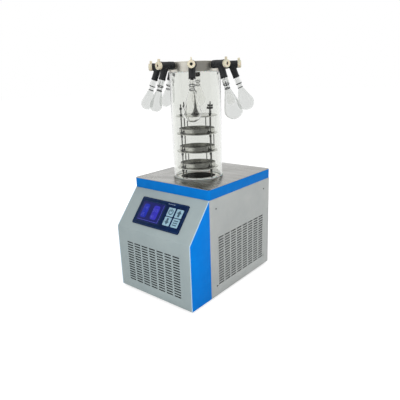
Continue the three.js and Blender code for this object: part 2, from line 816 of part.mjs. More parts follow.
function makeValve() {
  const barrel = rodX(valveRadius, stubCollarReach + fit, valveReach);
  const arm = downTheArm(rod(valveArmTopRadius, 0, valveArmLength, tubeSides, valveArmEndRadius));
  const stubSocket = rodX(stubRadius + valveClearance, stubCollarReach, stubReach + 1);
  const stemBore = rodX(
    knobStemRadius + knobClearance, valveReach - knobStemLength - 1, valveReach + 1,
  );
  const passage = rodX(valvePassage, stubReach, valveArmRoot + valvePassage, boreSides);
  const armPassage = downTheArm(rod(valvePassage, 0, valveArmLength + 1, boreSides));
  const neckSocket = downTheArm(rod(
    flaskSpigotRadius + valveClearance, valveArmLength - spigotDepth - 1, valveArmLength + 1,
  ));
  return cut(join(barrel, arm), stubSocket, stemBore, passage, armPassage, neckSocket);
}

function makeKnob() {
  const start = valveReach + fit;
  const end = start + knobThickness;
  const hub = rodX(knobRadius, start, end, drumSides / 2);
  const stem = rodX(knobStemRadius, valveReach - knobStemLength, start + 1);
  const fin = extruded(outline([
    [-knobFinWidth / 2, 0], [knobFinWidth / 2, 0],
    [knobFinWidth / 4, knobFinReach], [-knobFinWidth / 4, knobFinReach],
  ]), knobFinThickness).rotateX(Math.PI / 2).rotateZ(Math.PI / 2).translate(start, 0, 0);
  const hole = rodX(knobHoleRadius, end - knobHoleDepth, end + 1, boreSides);
  return cut(join(hub, stem, fin), hole);
}

// Points down the round bottom of a flask, from its widest part's shoulder to the pole.
function bulbProfile({ diameter, length }, wall, steps) {
  const bulb = diameter / 2 - wall;
  const centre = flaskNeckLength + length - diameter / 2;
  const start = radians(-flaskBulbStart);
  const points = [];
  for (let i = 0; i < steps; i += 1) {
    const angle = start + (i / steps) * (Math.PI / 2 - start);
    points.push([bulb * Math.cos(angle), centre + bulb * Math.sin(angle)]);
  }
  return [...points, [0, centre + bulb]];
}

// Blown glass, open at the neck that goes into the valve's arm.
function makeFlask(size) {
  const top = 1 - spigotDepth;
  const bore = flaskSpigotRadius - flaskWall;
  const inner = [
    [bore, top], [bore, flaskNeckLength], ...bulbProfile(size, flaskWall, 4),
  ];
  const outer = [
    [flaskSpigotRadius, top], [flaskSpigotRadius, flaskCollarStart],
    [flaskNeckRadius, flaskCollarEnd], [flaskNeckRadius, flaskNeckStraight],
    [flaskWaistRadius, flaskNeckLength],
    [flaskShoulderRadius, flaskNeckLength + flaskShoulderDrop], ...bulbProfile(size, 0, 5),
  ];
  const body = turned([...inner.reverse(), ...outer]).translate(0, 0, valveArmLength);
  return downTheArm(body);
}

// ---------------------------------------------------------------- assembly
const dryer = new THREE.Group();

dryer.add(piece('base_pan', makeBasePan(), galvanised));
for (const [front, y] of [['front', footInset], ['rear', cabinetDepth - footInset]]) {
  for (const [side, x] of [['left', footInset - halfWidth], ['right', halfWidth - footInset]]) {
    const foot = piece(`foot_${front}_${side}`, makeFoot(), blackRubber);
    foot.position.set(x, y, 0);
    dryer.add(foot);
  }
}
dryer.add(piece('front_cover', makeFrontCover(), greyPaint));
dryer.add(piece('front_cheek_left', makeCheek(-1), bluePaint));
dryer.add(piece('front_cheek_right', makeCheek(1), bluePaint));
dryer.add(piece('left_side_panel', makeSidePanel(-1), greyPaint));
dryer.add(piece('right_side_panel', makeVentedSidePanel(), greyPaint));
dryer.add(piece('rear_panel', makeRearPanel(), greyPaint));
dryer.add(piece('worktop_trim', makeTrim(), bluePaint));
dryer.add(piece('worktop', makeWorktop(), steel));
dryer.add(makeControls());

dryer.add(piece('cold_trap', makeColdTrap(), steel));
dryer.add(piece('cold_trap_floor', makeTrapFloor(), steel));
dryer.add(piece('condenser', makeCondenser(), aluminium));
dryer.add(piece('fan_shroud', makeFanShroud(), blackPaint));
const fanRotor = piece('fan_rotor', makeFanRotor(), aluminium);
fanRotor.position.set(0, fanFront, fanLevel);
dryer.add(fanRotor);
const compressor = piece('compressor', makeCompressor(), blackPaint);
compressor.position.set(compressorX, cabinetDepth - compressorFromBack, floorLevel);
dryer.add(compressor);

dryer.add(piece('vacuum_port', makeVacuumPort(), steel));
dryer.add(piece('power_inlet', makePowerInlet(), blackPaint));
const rocker = piece('power_switch', makeRocker(), blackPaint);
rocker.position.set(inletX + rockerX, cabinetDepth + fit + inletFlange, inletHeight);
rocker.rotation.x = radians(rockerTilt);
dryer.add(rocker);

// Everything round the chamber's axis.
const tower = new THREE.Group();
tower.position.y = chamberY;
dryer.add(tower);

function addAtLevel(mesh, level) {
  mesh.position.z = level;
  tower.add(mesh);
}

addAtLevel(piece('chamber_gasket', makeGasket(), silicone), worktopHeight + fit);
const cylinder = ring(chamberInside, chamberRadius, 0, chamberHeight, 48);
addAtLevel(piece('chamber_cylinder', cylinder, clearAcrylic), chamberBottom);
addAtLevel(piece('lid_gasket', makeGasket(), silicone), chamberTop + fit);
addAtLevel(piece('manifold_head', makeManifoldHead(), steel), headBottom);
addAtLevel(piece('rack_frame', makeRackFrame(), steel), worktopHeight);
rackLevels.forEach((level, i) => {
  addAtLevel(piece(`tray_${i + 1}`, makeTray(), steel), worktopHeight + level);
});

flasks.forEach((size, i) => {
  const station = new THREE.Group();
  station.position.z = portLevel;
  station.rotation.z = portAngle(i);
  station.add(piece(`valve_${i + 1}`, makeValve(), blackRubber));
  station.add(piece(`valve_knob_${i + 1}`, makeKnob(), ivory));
  station.add(piece(`flask_${i + 1}`, makeFlask(size), glass));
  tower.add(station);
});

// The origin is on the bench, under the middle of everything.
const extent = new THREE.Box3().setFromObject(dryer);
const middle = extent.getCenter(new THREE.Vector3());
dryer.position.set(-middle.x, -middle.y, -extent.min.z);

export default dryer;
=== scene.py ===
import json
from math import acos, atan2, cos, hypot, pi, radians, sin, tan

import bmesh
import bpy
from mathutils import Matrix, Vector


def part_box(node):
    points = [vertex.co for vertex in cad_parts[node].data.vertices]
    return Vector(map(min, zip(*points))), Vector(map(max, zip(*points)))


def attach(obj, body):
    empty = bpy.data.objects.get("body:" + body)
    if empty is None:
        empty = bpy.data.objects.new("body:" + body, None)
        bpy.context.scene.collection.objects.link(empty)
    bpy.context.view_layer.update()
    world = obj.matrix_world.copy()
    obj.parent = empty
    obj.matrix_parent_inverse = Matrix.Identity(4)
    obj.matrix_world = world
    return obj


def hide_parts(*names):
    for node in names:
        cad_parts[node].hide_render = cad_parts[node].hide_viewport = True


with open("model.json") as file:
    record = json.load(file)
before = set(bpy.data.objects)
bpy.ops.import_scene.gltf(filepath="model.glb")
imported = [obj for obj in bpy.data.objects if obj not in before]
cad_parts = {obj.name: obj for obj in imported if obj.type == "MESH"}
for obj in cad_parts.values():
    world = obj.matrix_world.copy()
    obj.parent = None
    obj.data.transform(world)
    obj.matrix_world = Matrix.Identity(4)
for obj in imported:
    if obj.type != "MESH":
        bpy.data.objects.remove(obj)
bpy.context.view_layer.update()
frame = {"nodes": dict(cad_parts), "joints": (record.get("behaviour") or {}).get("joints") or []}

MM = 0.001

# ---------------------------------------------------------------- places, from the frame
front_low, front_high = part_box("front_cover")
chamber_low, chamber_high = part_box("chamber_cylinder")
trim_low, trim_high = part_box("worktop_trim")
HEAD_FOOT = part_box("manifold_head")[0].z
CABINET_X = (front_low.x + front_high.x) / 2
FRONT_Y = front_low.y
AXIS_X = (chamber_low.x + chamber_high.x) / 2
AXIS_Y = (chamber_low.y + chamber_high.y) / 2
WORKTOP_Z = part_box("worktop")[1].z
joints = {joint["name"]: joint for joint in frame["joints"]}

# Sizes that the boxes don't give, in millimetres. Cabinet:
FIT = 0.3             # gap between pieces that touch
FOOT_HEIGHT = 10
KNEE_HEIGHT = 313
SLOPE_SETBACK = 135
COVER_TOP = 473.7
HALF_WIDTH = 225
DEPTH = 631
CHEEK = 8
SHEET = 1.5
SHEET_EASED = 0.35
BEND_RADIUS = 5       # of the front cover at the knee
BEND_STEPS = 6
HIGHLIGHT_STRIP_WIDTH = 3.5      # width of the pale painted highlight along the front cover's folded sides
SLOT_LENGTH, SLOT_HEIGHT, SLOT_CORNER, SLOT_ROW_PITCH = 38, 5.6, 1.8, 12.5
SIDE_SCREWS = [(181, 427), (578, 426), (180, 58), (582, 61)]  # depth, height
REAR_SCREWS = [(x, z) for x in (-205, 205) for z in (30, 240, 450)]

# Chamber, head and ports. Reaches are from the chamber's axis.
CHAMBER_WALL = 7
GASKET_LIP = 1.5
GASKET_THICKNESS = 3
HEAD_RADIUS, HEAD_HEIGHT, HEAD_WALL = 119, 42, 2
PORT_HEIGHT = 26
STUB_RADIUS, STUB_BORE, STUB_REACH = 10, 7.5, 157
COLLAR_RADIUS, COLLAR_REACH = 15, 145
SLEEVE_START = 122    # the rubber sleeve runs from here to the valve

# Rack and valves.
PLATE_RADIUS = 96
TOP_PLATE = 283
ROD_CIRCLE, ROD_RADIUS, ROD_TOP, LEG_RADIUS = 91, 3, 336, 2.4
NUT_HEIGHT = 313
BARREL_RADIUS, BARREL_END = 17, 192
ARM_START, ARM_TILT, ARM_LENGTH = 165, radians(21.6), 62

# Flasks: diameter and length below the neck, by port.
FLASKS = [(79, 132), (79, 132), (75, 106), (56, 90), (75, 106), (56, 90), (56, 90), (56, 90)]
FLASK_WALL = 1.8
FACET_SHARE = 0.98    # keeps a round bulb inside the CAD's faceted one
# These flasks take a paler copy of the glass: the same glass, with painted light.
PALER_GLASS_FLASKS = (1, 4, 5)


def at(x, y, z):
    """Matrix to a place in the row frame, in metres, of a shape in millimetres."""
    return Matrix.Translation((x, y, z)) @ Matrix.Scale(MM, 4)


CABINET = at(CABINET_X, FRONT_Y, 0)
TOWER = at(AXIS_X, AXIS_Y, WORKTOP_Z)
ALONG_X = Matrix.Rotation(pi / 2, 4, "Y")
ALONG_Y = Matrix.Rotation(-pi / 2, 4, "X")
# Stands an outline up in Y and Z, with its thickness along X.
UPRIGHT = Matrix(((0, 0, 1, 0), (1, 0, 0, 0), (0, 1, 0, 0), (0, 0, 0, 1)))


def station(number):
    """Frame of one port of the head: the origin on the chamber's axis, X outward, Z up."""
    x, y, z = joints[f"valve_knob_{number}_turn"]["pos_m"]
    out = Vector((x - AXIS_X, y - AXIS_Y, 0)).normalized()
    turn = Matrix((out, (-out.y, out.x, 0), (0, 0, 1))).transposed().to_4x4()
    return at(AXIS_X, AXIS_Y, z) @ turn


# ---------------------------------------------------------------- materials
def linear(colour):
    """(red, green, blue, 1) in linear light, from 0-255 values."""
    parts = [c / 255 for c in colour]
    return (*[p / 12.92 if p <= 0.04045 else ((p + 0.055) / 1.055) ** 2.4 for p in parts], 1)


class Finish:
    """A material under construction, on object coordinates."""

    def __init__(self, name):
        self.material = bpy.data.materials.new(name)
        self.material.use_nodes = True
        self.nodes = self.material.node_tree.nodes
        self.shader = self.nodes["Principled BSDF"]
        self.output = self.nodes["Material Output"]
        self.place = self.add("ShaderNodeTexCoord").outputs["Object"]

    def add(self, kind, **settings):
        node = self.nodes.new(kind)
        for key, value in settings.items():
            setattr(node, key, value)
        return node

    def link(self, source, target):
        self.material.node_tree.links.new(source, target)

    def feed(self, node, values):
        """Sets or links a node's inputs by name or number."""
        for key, value in values.items():
            if isinstance(value, bpy.types.NodeSocket):
                self.link(value, node.inputs[key])
            else:
                node.inputs[key].default_value = value
        return node

    def noise(self, scale, detail=3.0, stretch=(1, 1, 1)):
        mapping = self.feed(self.add("ShaderNodeMapping"), {"Vector": self.place, "Scale": stretch})
        texture = self.feed(self.add("ShaderNodeTexNoise"), {
            "Vector": mapping.outputs[0], "Scale": scale, "Detail": detail, "Roughness": 0.6,
        })
        return texture.outputs["Fac"]

    def spread(self, value, low, high, start=0.3, end=0.7):
        """The value's middle range spread over low to high."""
        node = self.feed(self.add("ShaderNodeMapRange"), {
            "Value": value, "From Min": start, "From Max": end, "To Min": low, "To Max": high,
        })
        return node.outputs["Result"]

    def mix(self, factor, first, second):
        node = self.add("ShaderNodeMix", data_type="RGBA")
        self.feed(node, {0: factor, 6: first, 7: second})
        return node.outputs[2]

    def maths(self, operation, first, second):
        node = self.add("ShaderNodeMath", operation=operation, use_clamp=True)
        self.feed(node, {0: first, 1: second})
        return node.outputs[0]

    def bump(self, height, depth):
        """A bump that is depth metres high."""
        node = self.feed(self.add("ShaderNodeBump"), {"Height": height, "Distance": depth})
        self.link(node.outputs[0], self.shader.inputs["Normal"])


def surface(name, dark, light, rough, patch=25, wear=60, grain=None, stretch=(1, 1, 1), **fixed):
    """An opaque finish: two tones in patches, roughness that wanders, and a fine grain.
    grain is (how many per metre, height in metres)."""
    finish = Finish(name)
    tone = finish.spread(finish.noise(patch, stretch=stretch), 0, 1)
    finish.feed(finish.shader, {
        "Base Color": finish.mix(tone, linear(dark), linear(light)),
        "Roughness": finish.spread(finish.noise(wear, 4, stretch), *rough),
    })
    for key, value in fixed.items():
        finish.shader.inputs[key.replace("_", " ")].default_value = value
    if grain:
        finish.bump(finish.noise(grain[0], 2, stretch), grain[1])
    return finish.material


def clear(name, centre, edge, rim, ior, rough, **fixed):
    """Glass or clear plastic in three tones, from where it faces the eye to its rim; the tones
    towards the rim are painted light and shade of its edges. Light from the lamps passes it."""
    finish = Finish(name)
    weight = finish.feed(finish.add("ShaderNodeLayerWeight"), {"Blend": 0.5})
    streaks = finish.spread(finish.noise(14, 3), -0.05, 0.05)
    turned = finish.maths("ADD", weight.outputs["Facing"], streaks)
    facing = finish.mix(finish.spread(turned, 0, 1, 0.3, 0.7), linear(centre), linear(edge))
    finish.feed(finish.shader, {
        "Base Color": finish.mix(finish.spread(turned, 0, 1, 0.8, 1), facing, linear(rim)),
        "Roughness": finish.spread(finish.noise(40), *rough),
        "IOR": ior, "Transmission Weight": 1.0,
    })
    for key, value in fixed.items():
        finish.shader.inputs[key.replace("_", " ")].default_value = value
    path = finish.add("ShaderNodeLightPath").outputs
    passing = finish.feed(finish.add("ShaderNodeBsdfTransparent"), {"Color": linear(centre)})
    choice = finish.add("ShaderNodeMixShader")
    finish.feed(choice, {
        0: finish.maths("MAXIMUM", path["Is Shadow Ray"], path["Is Diffuse Ray"]),
        1: finish.shader.outputs[0], 2: passing.outputs[0],
    })
    finish.link(choice.outputs[0], finish.output.inputs[0])
    return finish.material


grey_paint = surface(
    "grey_paint", (146, 159, 161), (154, 166, 167), (0.45, 0.58), patch=9, grain=(1100, 0.00006),
    Specular_IOR_Level=0.3,
)
# Lighter, less blue copy of the grey paint for the side panels: the same paint, with the sides'
# different light painted in.
lit_side_grey = surface(
    "lit_side_grey", (164, 168, 167), (172, 175, 173), (0.45, 0.58), patch=9, grain=(1100, 0.00006),
    Specular_IOR_Level=0.3,
)
blue_paint = surface(
    "blue_paint", (2, 118, 210), (4, 124, 216), (0.4, 0.5), grain=(900, 0.00005),
    Specular_IOR_Level=0.04,
)
# Darker copy of the blue paint for the worktop's trim: the same paint, with painted shade.
shaded_trim_blue = surface(
    "shaded_trim_blue", (4, 108, 190), (8, 114, 197), (0.4, 0.5), grain=(900, 0.00005),
    Specular_IOR_Level=0.04,
)
# Pale blue for a strip along the front cover's folded sides: a painted highlight on the bend.
painted_edge_highlight = surface(
    "painted_edge_highlight", (172, 202, 222), (184, 212, 230), (0.4, 0.5), grain=(900, 0.00003),
    Specular_IOR_Level=0.3,
)
# Near-black paint inside the ventilation slots: painted shade.
slot_shade_paint = surface("slot_shade_paint", (22, 24, 24), (30, 32, 32), (0.6, 0.75), patch=120)
brushed = surface(
    "brushed_steel", (156, 155, 151), (174, 174, 171), (0.25, 0.32), patch=5, wear=4,
    stretch=(1, 8, 1), Metallic=1.0,
)
drum_steel = surface(
    "drum_steel", (213, 210, 200), (225, 222, 212), (0.32, 0.4), patch=12, wear=20, Metallic=1.0,
)
# Dark paint for the cold trap's inside wall: painted shade of the steel pot's deep inside.
trap_shade_paint = surface("trap_inside_shade", (32, 34, 33), (44, 46, 44), (0.55, 0.7), patch=30, wear=60)
stub_steel = surface(
    "stub_steel", (176, 174, 166), (196, 194, 186), (0.35, 0.48), wear=60, Metallic=1.0,
)
polished = surface(
    "polished_steel", (196, 194, 186), (212, 210, 203), (0.06, 0.14), wear=30,
    grain=(60, 0.00002), stretch=(1, 1, 6), Metallic=1.0,
)
satin = surface(
    "satin_steel", (186, 186, 181), (204, 204, 199), (0.14, 0.26), patch=40, wear=90,
    grain=(500, 0.00001), stretch=(1, 1, 4), Metallic=1.0,
)
dark_steel = surface(
    "dark_steel", (62, 64, 64), (84, 86, 85), (0.3, 0.45), wear=200, grain=(900, 0.00004),
    Metallic=1.0,
)
rod_steel = surface(
    "rod_steel", (104, 105, 103), (128, 129, 126), (0.25, 0.4), wear=200, grain=(900, 0.00002),
    Metallic=1.0,
)
rubber = surface(
    "black_rubber", (17, 19, 21), (27, 30, 32), (0.5, 0.68), patch=60, grain=(1400, 0.00006),
)
grey_rubber = surface(
    "grey_rubber", (58, 60, 61), (76, 78, 79), (0.5, 0.65), patch=60, grain=(1400, 0.00005),
)
ivory = surface(
    "ivory_plastic", (200, 191, 166), (216, 208, 184), (0.32, 0.45), patch=50,
    grain=(700, 0.00003), Subsurface_Weight=0.08,
)
silicone = surface(
    "silicone", (206, 207, 203), (220, 221, 218), (0.45, 0.6), grain=(600, 0.00003),
    Subsurface_Weight=0.2,
)
navy = surface(
    "navy_film", (6, 26, 60), (10, 36, 74), (0.12, 0.2), grain=(900, 0.00001),
    Specular_IOR_Level=0.05,
)
panel_line = surface("panel_line", (22, 52, 92), (30, 60, 104), (0.14, 0.22))
panel_mark = surface("panel_mark", (104, 122, 150), (122, 140, 166), (0.2, 0.3))
key_film = surface(
    "key_film", (128, 164, 182), (146, 180, 196), (0.35, 0.48), patch=60, grain=(1200, 0.00004),
)
key_symbol = surface("key_symbol", (34, 66, 84), (46, 80, 98), (0.3, 0.42), grain=(900, 0.00002))
lit = {"Specular_IOR_Level": 0.08}
screen = surface("screen", (20, 28, 82), (32, 36, 106), (0.1, 0.16), patch=14, **lit)
screen_blue = surface("screen_blue", (28, 42, 150), (38, 50, 170), (0.1, 0.16), patch=22, **lit)
screen_violet = surface("screen_violet", (46, 46, 164), (56, 52, 182), (0.1, 0.16), patch=22, **lit)
screen_text = surface("screen_text", (84, 92, 200), (98, 104, 210), (0.1, 0.16), **lit)
# Black for the sheets behind the slots: painted shade of the cabinet's inside.
shade_sheet_black = surface(
    "slot_shade_black", (20, 22, 23), (34, 36, 37), (0.8, 0.95), patch=140, grain=(2600, 0.0006),
)
black_plastic = surface(
    "black_plastic", (19, 20, 22), (30, 31, 33), (0.35, 0.5), grain=(1500, 0.00005),
)
black_paint = surface(
    "black_paint", (20, 21, 23), (32, 33, 35), (0.35, 0.55), patch=40, grain=(1000, 0.00006),
)
aluminium = surface(
    "aluminium", (150, 153, 156), (176, 179, 182), (0.32, 0.48), wear=120, grain=(800, 0.00003),
    Metallic=1.0,
)
copper = surface(
    "copper", (158, 88, 52), (186, 108, 66), (0.25, 0.42), patch=70, grain=(600, 0.00003),
    Metallic=1.0,
)
galvanised = surface(
    "galvanised", (132, 136, 138), (164, 168, 170), (0.35, 0.55), patch=90, wear=140,
    grain=(500, 0.00004), Metallic=0.9,
)
glass = clear("glass", (236, 237, 236), (237, 238, 237), (222, 224, 224), 1.2, (0.02, 0.05))
# A paler copy of the glass for some flasks: the same glass, with painted light.
paler_glass_copy = clear(
    "paler_glass_copy", (252, 252, 251), (250, 250, 249), (236, 238, 238), 1.22, (0.02, 0.05),
)
acrylic = clear(
    "clear_acrylic", (238, 239, 236), (250, 251, 249), (214, 216, 214), 1.35, (0.01, 0.03),
)


# ---------------------------------------------------------------- shapes
def fillet(points, radius, closed=False, steps=4):
    """The line of points with its corners rounded. radius is a number, or one for each point."""
    count = len(points)
    radii = radius if isinstance(radius, (list, tuple)) else [radius] * count
    line = []
    for i, corner in enumerate(points):
        if radii[i] <= 0 or (not closed and i in (0, count - 1)):
            line.append(tuple(corner))
            continue
        corner = Vector(corner)
        before = Vector(points[i - 1]) - corner
        after = Vector(points[(i + 1) % count]) - corner
        turn = before.angle(after)
        reach = min(radii[i] / tan(turn / 2), 0.48 * before.length, 0.48 * after.length)
        start, end = corner + before.normalized() * reach, corner + after.normalized() * reach
        for step in range(steps + 1):
            t = step / steps
            point = start * (1 - t) ** 2 + corner * 2 * t * (1 - t) + end * t * t
            line.append(tuple(point))
    return line


def curve(points, steps):
    """A smooth line through the points."""
    points = [Vector(p) for p in points]
    ends = [2 * points[0] - points[1], *points, 2 * points[-1] - points[-2]]
    line = []
    for i in range(1, len(ends) - 2):
        a, b, c, d = ends[i - 1:i + 3]
        for step in range(steps):
            t = step / steps
            line.append(tuple(0.5 * (
                2 * b + (c - a) * t + (2 * a - 5 * b + 4 * c - d) * t ** 2
                + (3 * b - a - 3 * c + d) * t ** 3
            )))
    return [*line, tuple(points[-1])]


def circle(radius, steps, x=0.0, y=0.0):
    turns = [2 * pi * i / steps for i in range(steps)]
    return [(x + radius * cos(a), y + radius * sin(a)) for a in turns]


def rectangle(x0, x1, y0, y1, radius=0.0, steps=6):
    corners = [(x0, y0), (x1, y0), (x1, y1), (x0, y1)]
    return fillet(corners, radius, closed=True, steps=steps) if radius else corners


class Shape:
    """Vertices and faces of one piece. Each part is added in its own place and with the number of
    its material."""

    def __init__(self):
        self.verts, self.faces, self.numbers = [], [], []

    def add(self, verts, faces, place=None, number=0):
        start = len(self.verts)
        place = place or Matrix.Identity(4)
        self.verts += [place @ Vector(v) for v in verts]
        self.faces += [[start + i for i in face] for face in faces]
        self.numbers += [number] * len(faces)
        return self

    def lathe(self, profile, place=None, steps=64, number=0, closed=False):
        """Turns [radius, height] points round Z. A closed profile meets its own start."""
        verts, rows = [], []
        for radius, height in profile:
            if radius < 1e-6:
                rows.append([len(verts)] * steps)
                verts.append((0, 0, height))
                continue
            rows.append(list(range(len(verts), len(verts) + steps)))
            verts += [(x, y, height) for x, y in circle(radius, steps)]
        faces = []
        for low, high in zip(rows, rows[1:] + rows[:1] if closed else rows[1:]):
            for i in range(steps):
                j = (i + 1) % steps
                face = dict.fromkeys((low[i], low[j], high[j], high[i]))
                if len(face) > 2:
                    faces.append(list(face))
        return self.add(verts, faces, place, number)

    def prism(self, outline, low, high, place=None, number=0):
        count = len(outline)
        verts = [(x, y, z) for z in (low, high) for x, y in outline]
        sides = [(i, (i + 1) % count, (i + 1) % count + count, i + count) for i in range(count)]
        caps = [list(range(count))[::-1], list(range(count, 2 * count))]
        return self.add(verts, caps + sides, place, number)

    def block(self, x0, x1, y0, y1, z0, z1):
        return self.prism(rectangle(x0, x1, y0, y1), z0, z1)

    def tube(self, path, radius, sides=16):
        """A round bar along a line of points."""
        path = [Vector(p) for p in path]
        verts, faces, side = [], [], None
        for i, point in enumerate(path):
            along = (path[min(i + 1, len(path) - 1)] - path[max(i - 1, 0)]).normalized()
            if side is None:
                side = along.orthogonal().normalized()
            side = (side - along * side.dot(along)).normalized()
            other = along.cross(side)
            verts += [point + x * side + y * other for x, y in circle(radius, sides)]
        for ring in range(len(path) - 1):
            for i in range(sides):
                j = (i + 1) % sides
                a, b = ring * sides, (ring + 1) * sides
                faces.append((a + i, a + j, b + j, b + i))
        faces += [list(range(sides))[::-1], list(range(len(verts) - sides, len(verts)))]
        return self.add(verts, faces)


def punched(outline, holes, thickness, eased, walls=0):
    """A flat plate with holes, as a mesh. Its upper face lies at height 0. walls is the number of
    the material inside the holes."""
    data = bpy.data.curves.new("plate", "CURVE")
    data.dimensions, data.fill_mode = "2D", "BOTH"
    data.extrude, data.bevel_depth, data.offset = thickness / 2 - eased, eased, -eased
    data.bevel_resolution = 1
    for loop in (outline, *holes):
        spline = data.splines.new("POLY")
        spline.points.add(len(loop) - 1)
        spline.points.foreach_set("co", [c for x, y in loop for c in (x, y, 0, 1)])
        spline.use_cyclic_u = True
    plate = bpy.data.objects.new("plate", data)
    bpy.context.scene.collection.objects.link(plate)
    bpy.context.view_layer.update()
    evaluated = plate.evaluated_get(bpy.context.evaluated_depsgraph_get())
    mesh = bpy.data.meshes.new_from_object(evaluated)
    bpy.data.objects.remove(plate)
    mesh.transform(Matrix.Translation((0, 0, -thickness / 2)))
    form = bmesh.new()
    form.from_mesh(mesh)
    bmesh.ops.remove_doubles(form, verts=form.verts, dist=0.001)
    xs, ys = zip(*outline)
    for face in form.faces:
        x, y, _ = face.calc_center_median()
        inside = min(xs) + 2 < x < max(xs) - 2 and min(ys) + 2 < y < max(ys) - 2
        if inside and abs(face.normal.z) < 0.9:
            face.material_index = walls
    form.to_mesh(mesh)
    form.free()
    return mesh


def piece(
    name, shape, materials, body="cabinet", replaces=(), *, place, eased=0.0, bend=None,
    sharp=35,
):
    """Makes a piece from a Shape or a mesh. Edges are eased by that many millimetres. bend moves
    each point before place puts it in the row frame."""
    form = bmesh.new()
    if isinstance(shape, Shape):
        verts = [form.verts.new(v) for v in shape.verts]
        for face, number in zip(shape.faces, shape.numbers):
            form.faces.new([verts[i] for i in face]).material_index = number
        bmesh.ops.recalc_face_normals(form, faces=form.faces)
    else:
        form.from_mesh(shape)
    if eased:
        edges = [e for e in form.edges if e.is_manifold and e.calc_face_angle() > radians(30)]
        bmesh.ops.bevel(
            form, geom=edges, offset=eased, segments=2, profile=0.5, affect="EDGES",
            clamp_overlap=True,
        )
    if bend:
        for vert in form.verts:
            vert.co = bend(vert.co)
    form.transform(place)
    data = bpy.data.meshes.new(name)
    form.to_mesh(data)
    form.free()
    for material in materials if isinstance(materials, (list, tuple)) else [materials]:
        data.materials.append(material)
    data.shade_smooth()
    data.set_sharp_from_angle(angle=radians(sharp))
    thing = bpy.data.objects.new(name, data)
    bpy.context.scene.collection.objects.link(thing)
    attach(thing, body)
    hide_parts(*replaces)
    return thing


def keep(node, material, eased):
    """A CAD node that stays, with its edges eased by that many millimetres."""
    thing = frame["nodes"][node]
    for material_slot in thing.material_slots:
        material_slot.material = material
    weld = thing.modifiers.new("weld", "WELD")
    weld.merge_threshold = 0.00001
    flat = thing.modifiers.new("flat", "DECIMATE")
    flat.decimate_type, flat.angle_limit = "DISSOLVE", radians(1)
    bevel = thing.modifiers.new("eased", "BEVEL")
    bevel.width, bevel.segments, bevel.harden_normals = eased * MM, 2, True
    bevel.limit_method, bevel.angle_limit = "ANGLE", radians(40)


# ---------------------------------------------------------------- cabinet
def slot_field(columns, rows, first_column, first_row, column_pitch):
    """Outlines of ventilation slots. The first column and row are those of a slot's middle."""
    wide, tall = SLOT_LENGTH / 2, SLOT_HEIGHT / 2
    holes = []
    for column in range(columns):
        for row in range(rows):
            x, y = first_column + column * column_pitch, first_row + row * SLOT_ROW_PITCH
            holes.append(rectangle(x - wide, x + wide, y - tall, y + tall, SLOT_CORNER, 3))
    return holes


# The front cover is cut flat, then bent at the knee.
slope_rise = COVER_TOP - KNEE_HEIGHT
slope_length = hypot(slope_rise, SLOPE_SETBACK)
SLOPE = acos(SLOPE_SETBACK / slope_length)
turned_by = pi / 2 - SLOPE
knee_start = KNEE_HEIGHT - FOOT_HEIGHT - BEND_RADIUS * tan(turned_by / 2)
knee_length = BEND_RADIUS * turned_by


def at_knee(point):
    """A point of the flat cover, X across and Y up its length, where the bent cover holds it."""
    x, s, depth = point
    past = s - knee_start
    if past <= 0:
        return Vector((x, -depth, FOOT_HEIGHT + s))
    angle = min(past / knee_length, 1) * turned_by
    straight = max(past - knee_length, 0)
    y = BEND_RADIUS * (1 - cos(angle)) + straight * sin(angle)
    z = FOOT_HEIGHT + knee_start + BEND_RADIUS * sin(angle) + straight * cos(angle)
    return Vector((x, y - depth * cos(angle), z + depth * sin(angle)))


cover_length = knee_start + knee_length + slope_length - BEND_RADIUS * tan(turned_by / 2)
cover_slots = slot_field(columns=7, rows=16, first_column=-144, first_row=48, column_pitch=48)
# The slots' inner walls take painted shade.
cover = punched(
    rectangle(-HALF_WIDTH, HALF_WIDTH, 0, cover_length), cover_slots, SHEET, SHEET_EASED, walls=1,
)
form = bmesh.new()
form.from_mesh(cover)
bend_lines = [(0, knee_start + i / BEND_STEPS * knee_length, 0) for i in range(BEND_STEPS + 1)]
edge_lines = [(sign * (HALF_WIDTH - HIGHLIGHT_STRIP_WIDTH), 0, 0) for sign in (-1, 1)]
for lines, across in ((bend_lines, (0, 1, 0)), (edge_lines, (1, 0, 0))):
    for line in lines:
        bmesh.ops.bisect_plane(
            form, geom=[*form.verts, *form.edges, *form.faces], plane_co=line, plane_no=across,
        )
# The strips along the cover's folded sides take the painted highlight.
for face in form.faces:
    if abs(face.calc_center_median().x) > HALF_WIDTH - HIGHLIGHT_STRIP_WIDTH:
        face.material_index = 2
form.to_mesh(cover)
form.free()
piece(
    "front_cover_sheet", cover, [grey_paint, slot_shade_paint, painted_edge_highlight],
    replaces=["front_cover"], place=CABINET, bend=at_knee, sharp=30,
)

# A blue cheek closes the space behind the cover at each side.
behind = SHEET + FIT
drop = behind / cos(SLOPE)
cheek_outline = fillet(
    [(behind, FOOT_HEIGHT), (SLOPE_SETBACK, FOOT_HEIGHT), (SLOPE_SETBACK, COVER_TOP - drop),
     (behind, KNEE_HEIGHT + behind * tan(SLOPE) - drop)],
    [2, 0, 0, 4], closed=True,
)
for side, sign in (("left", -1), ("right", 1)):
    inner, outer = sorted((sign * (HALF_WIDTH - CHEEK), sign * HALF_WIDTH))
    piece(
        f"cheek_{side}", Shape().prism(cheek_outline, inner, outer, UPRIGHT), blue_paint,
        replaces=[f"front_cheek_{side}"], place=CABINET, eased=0.8,
    )

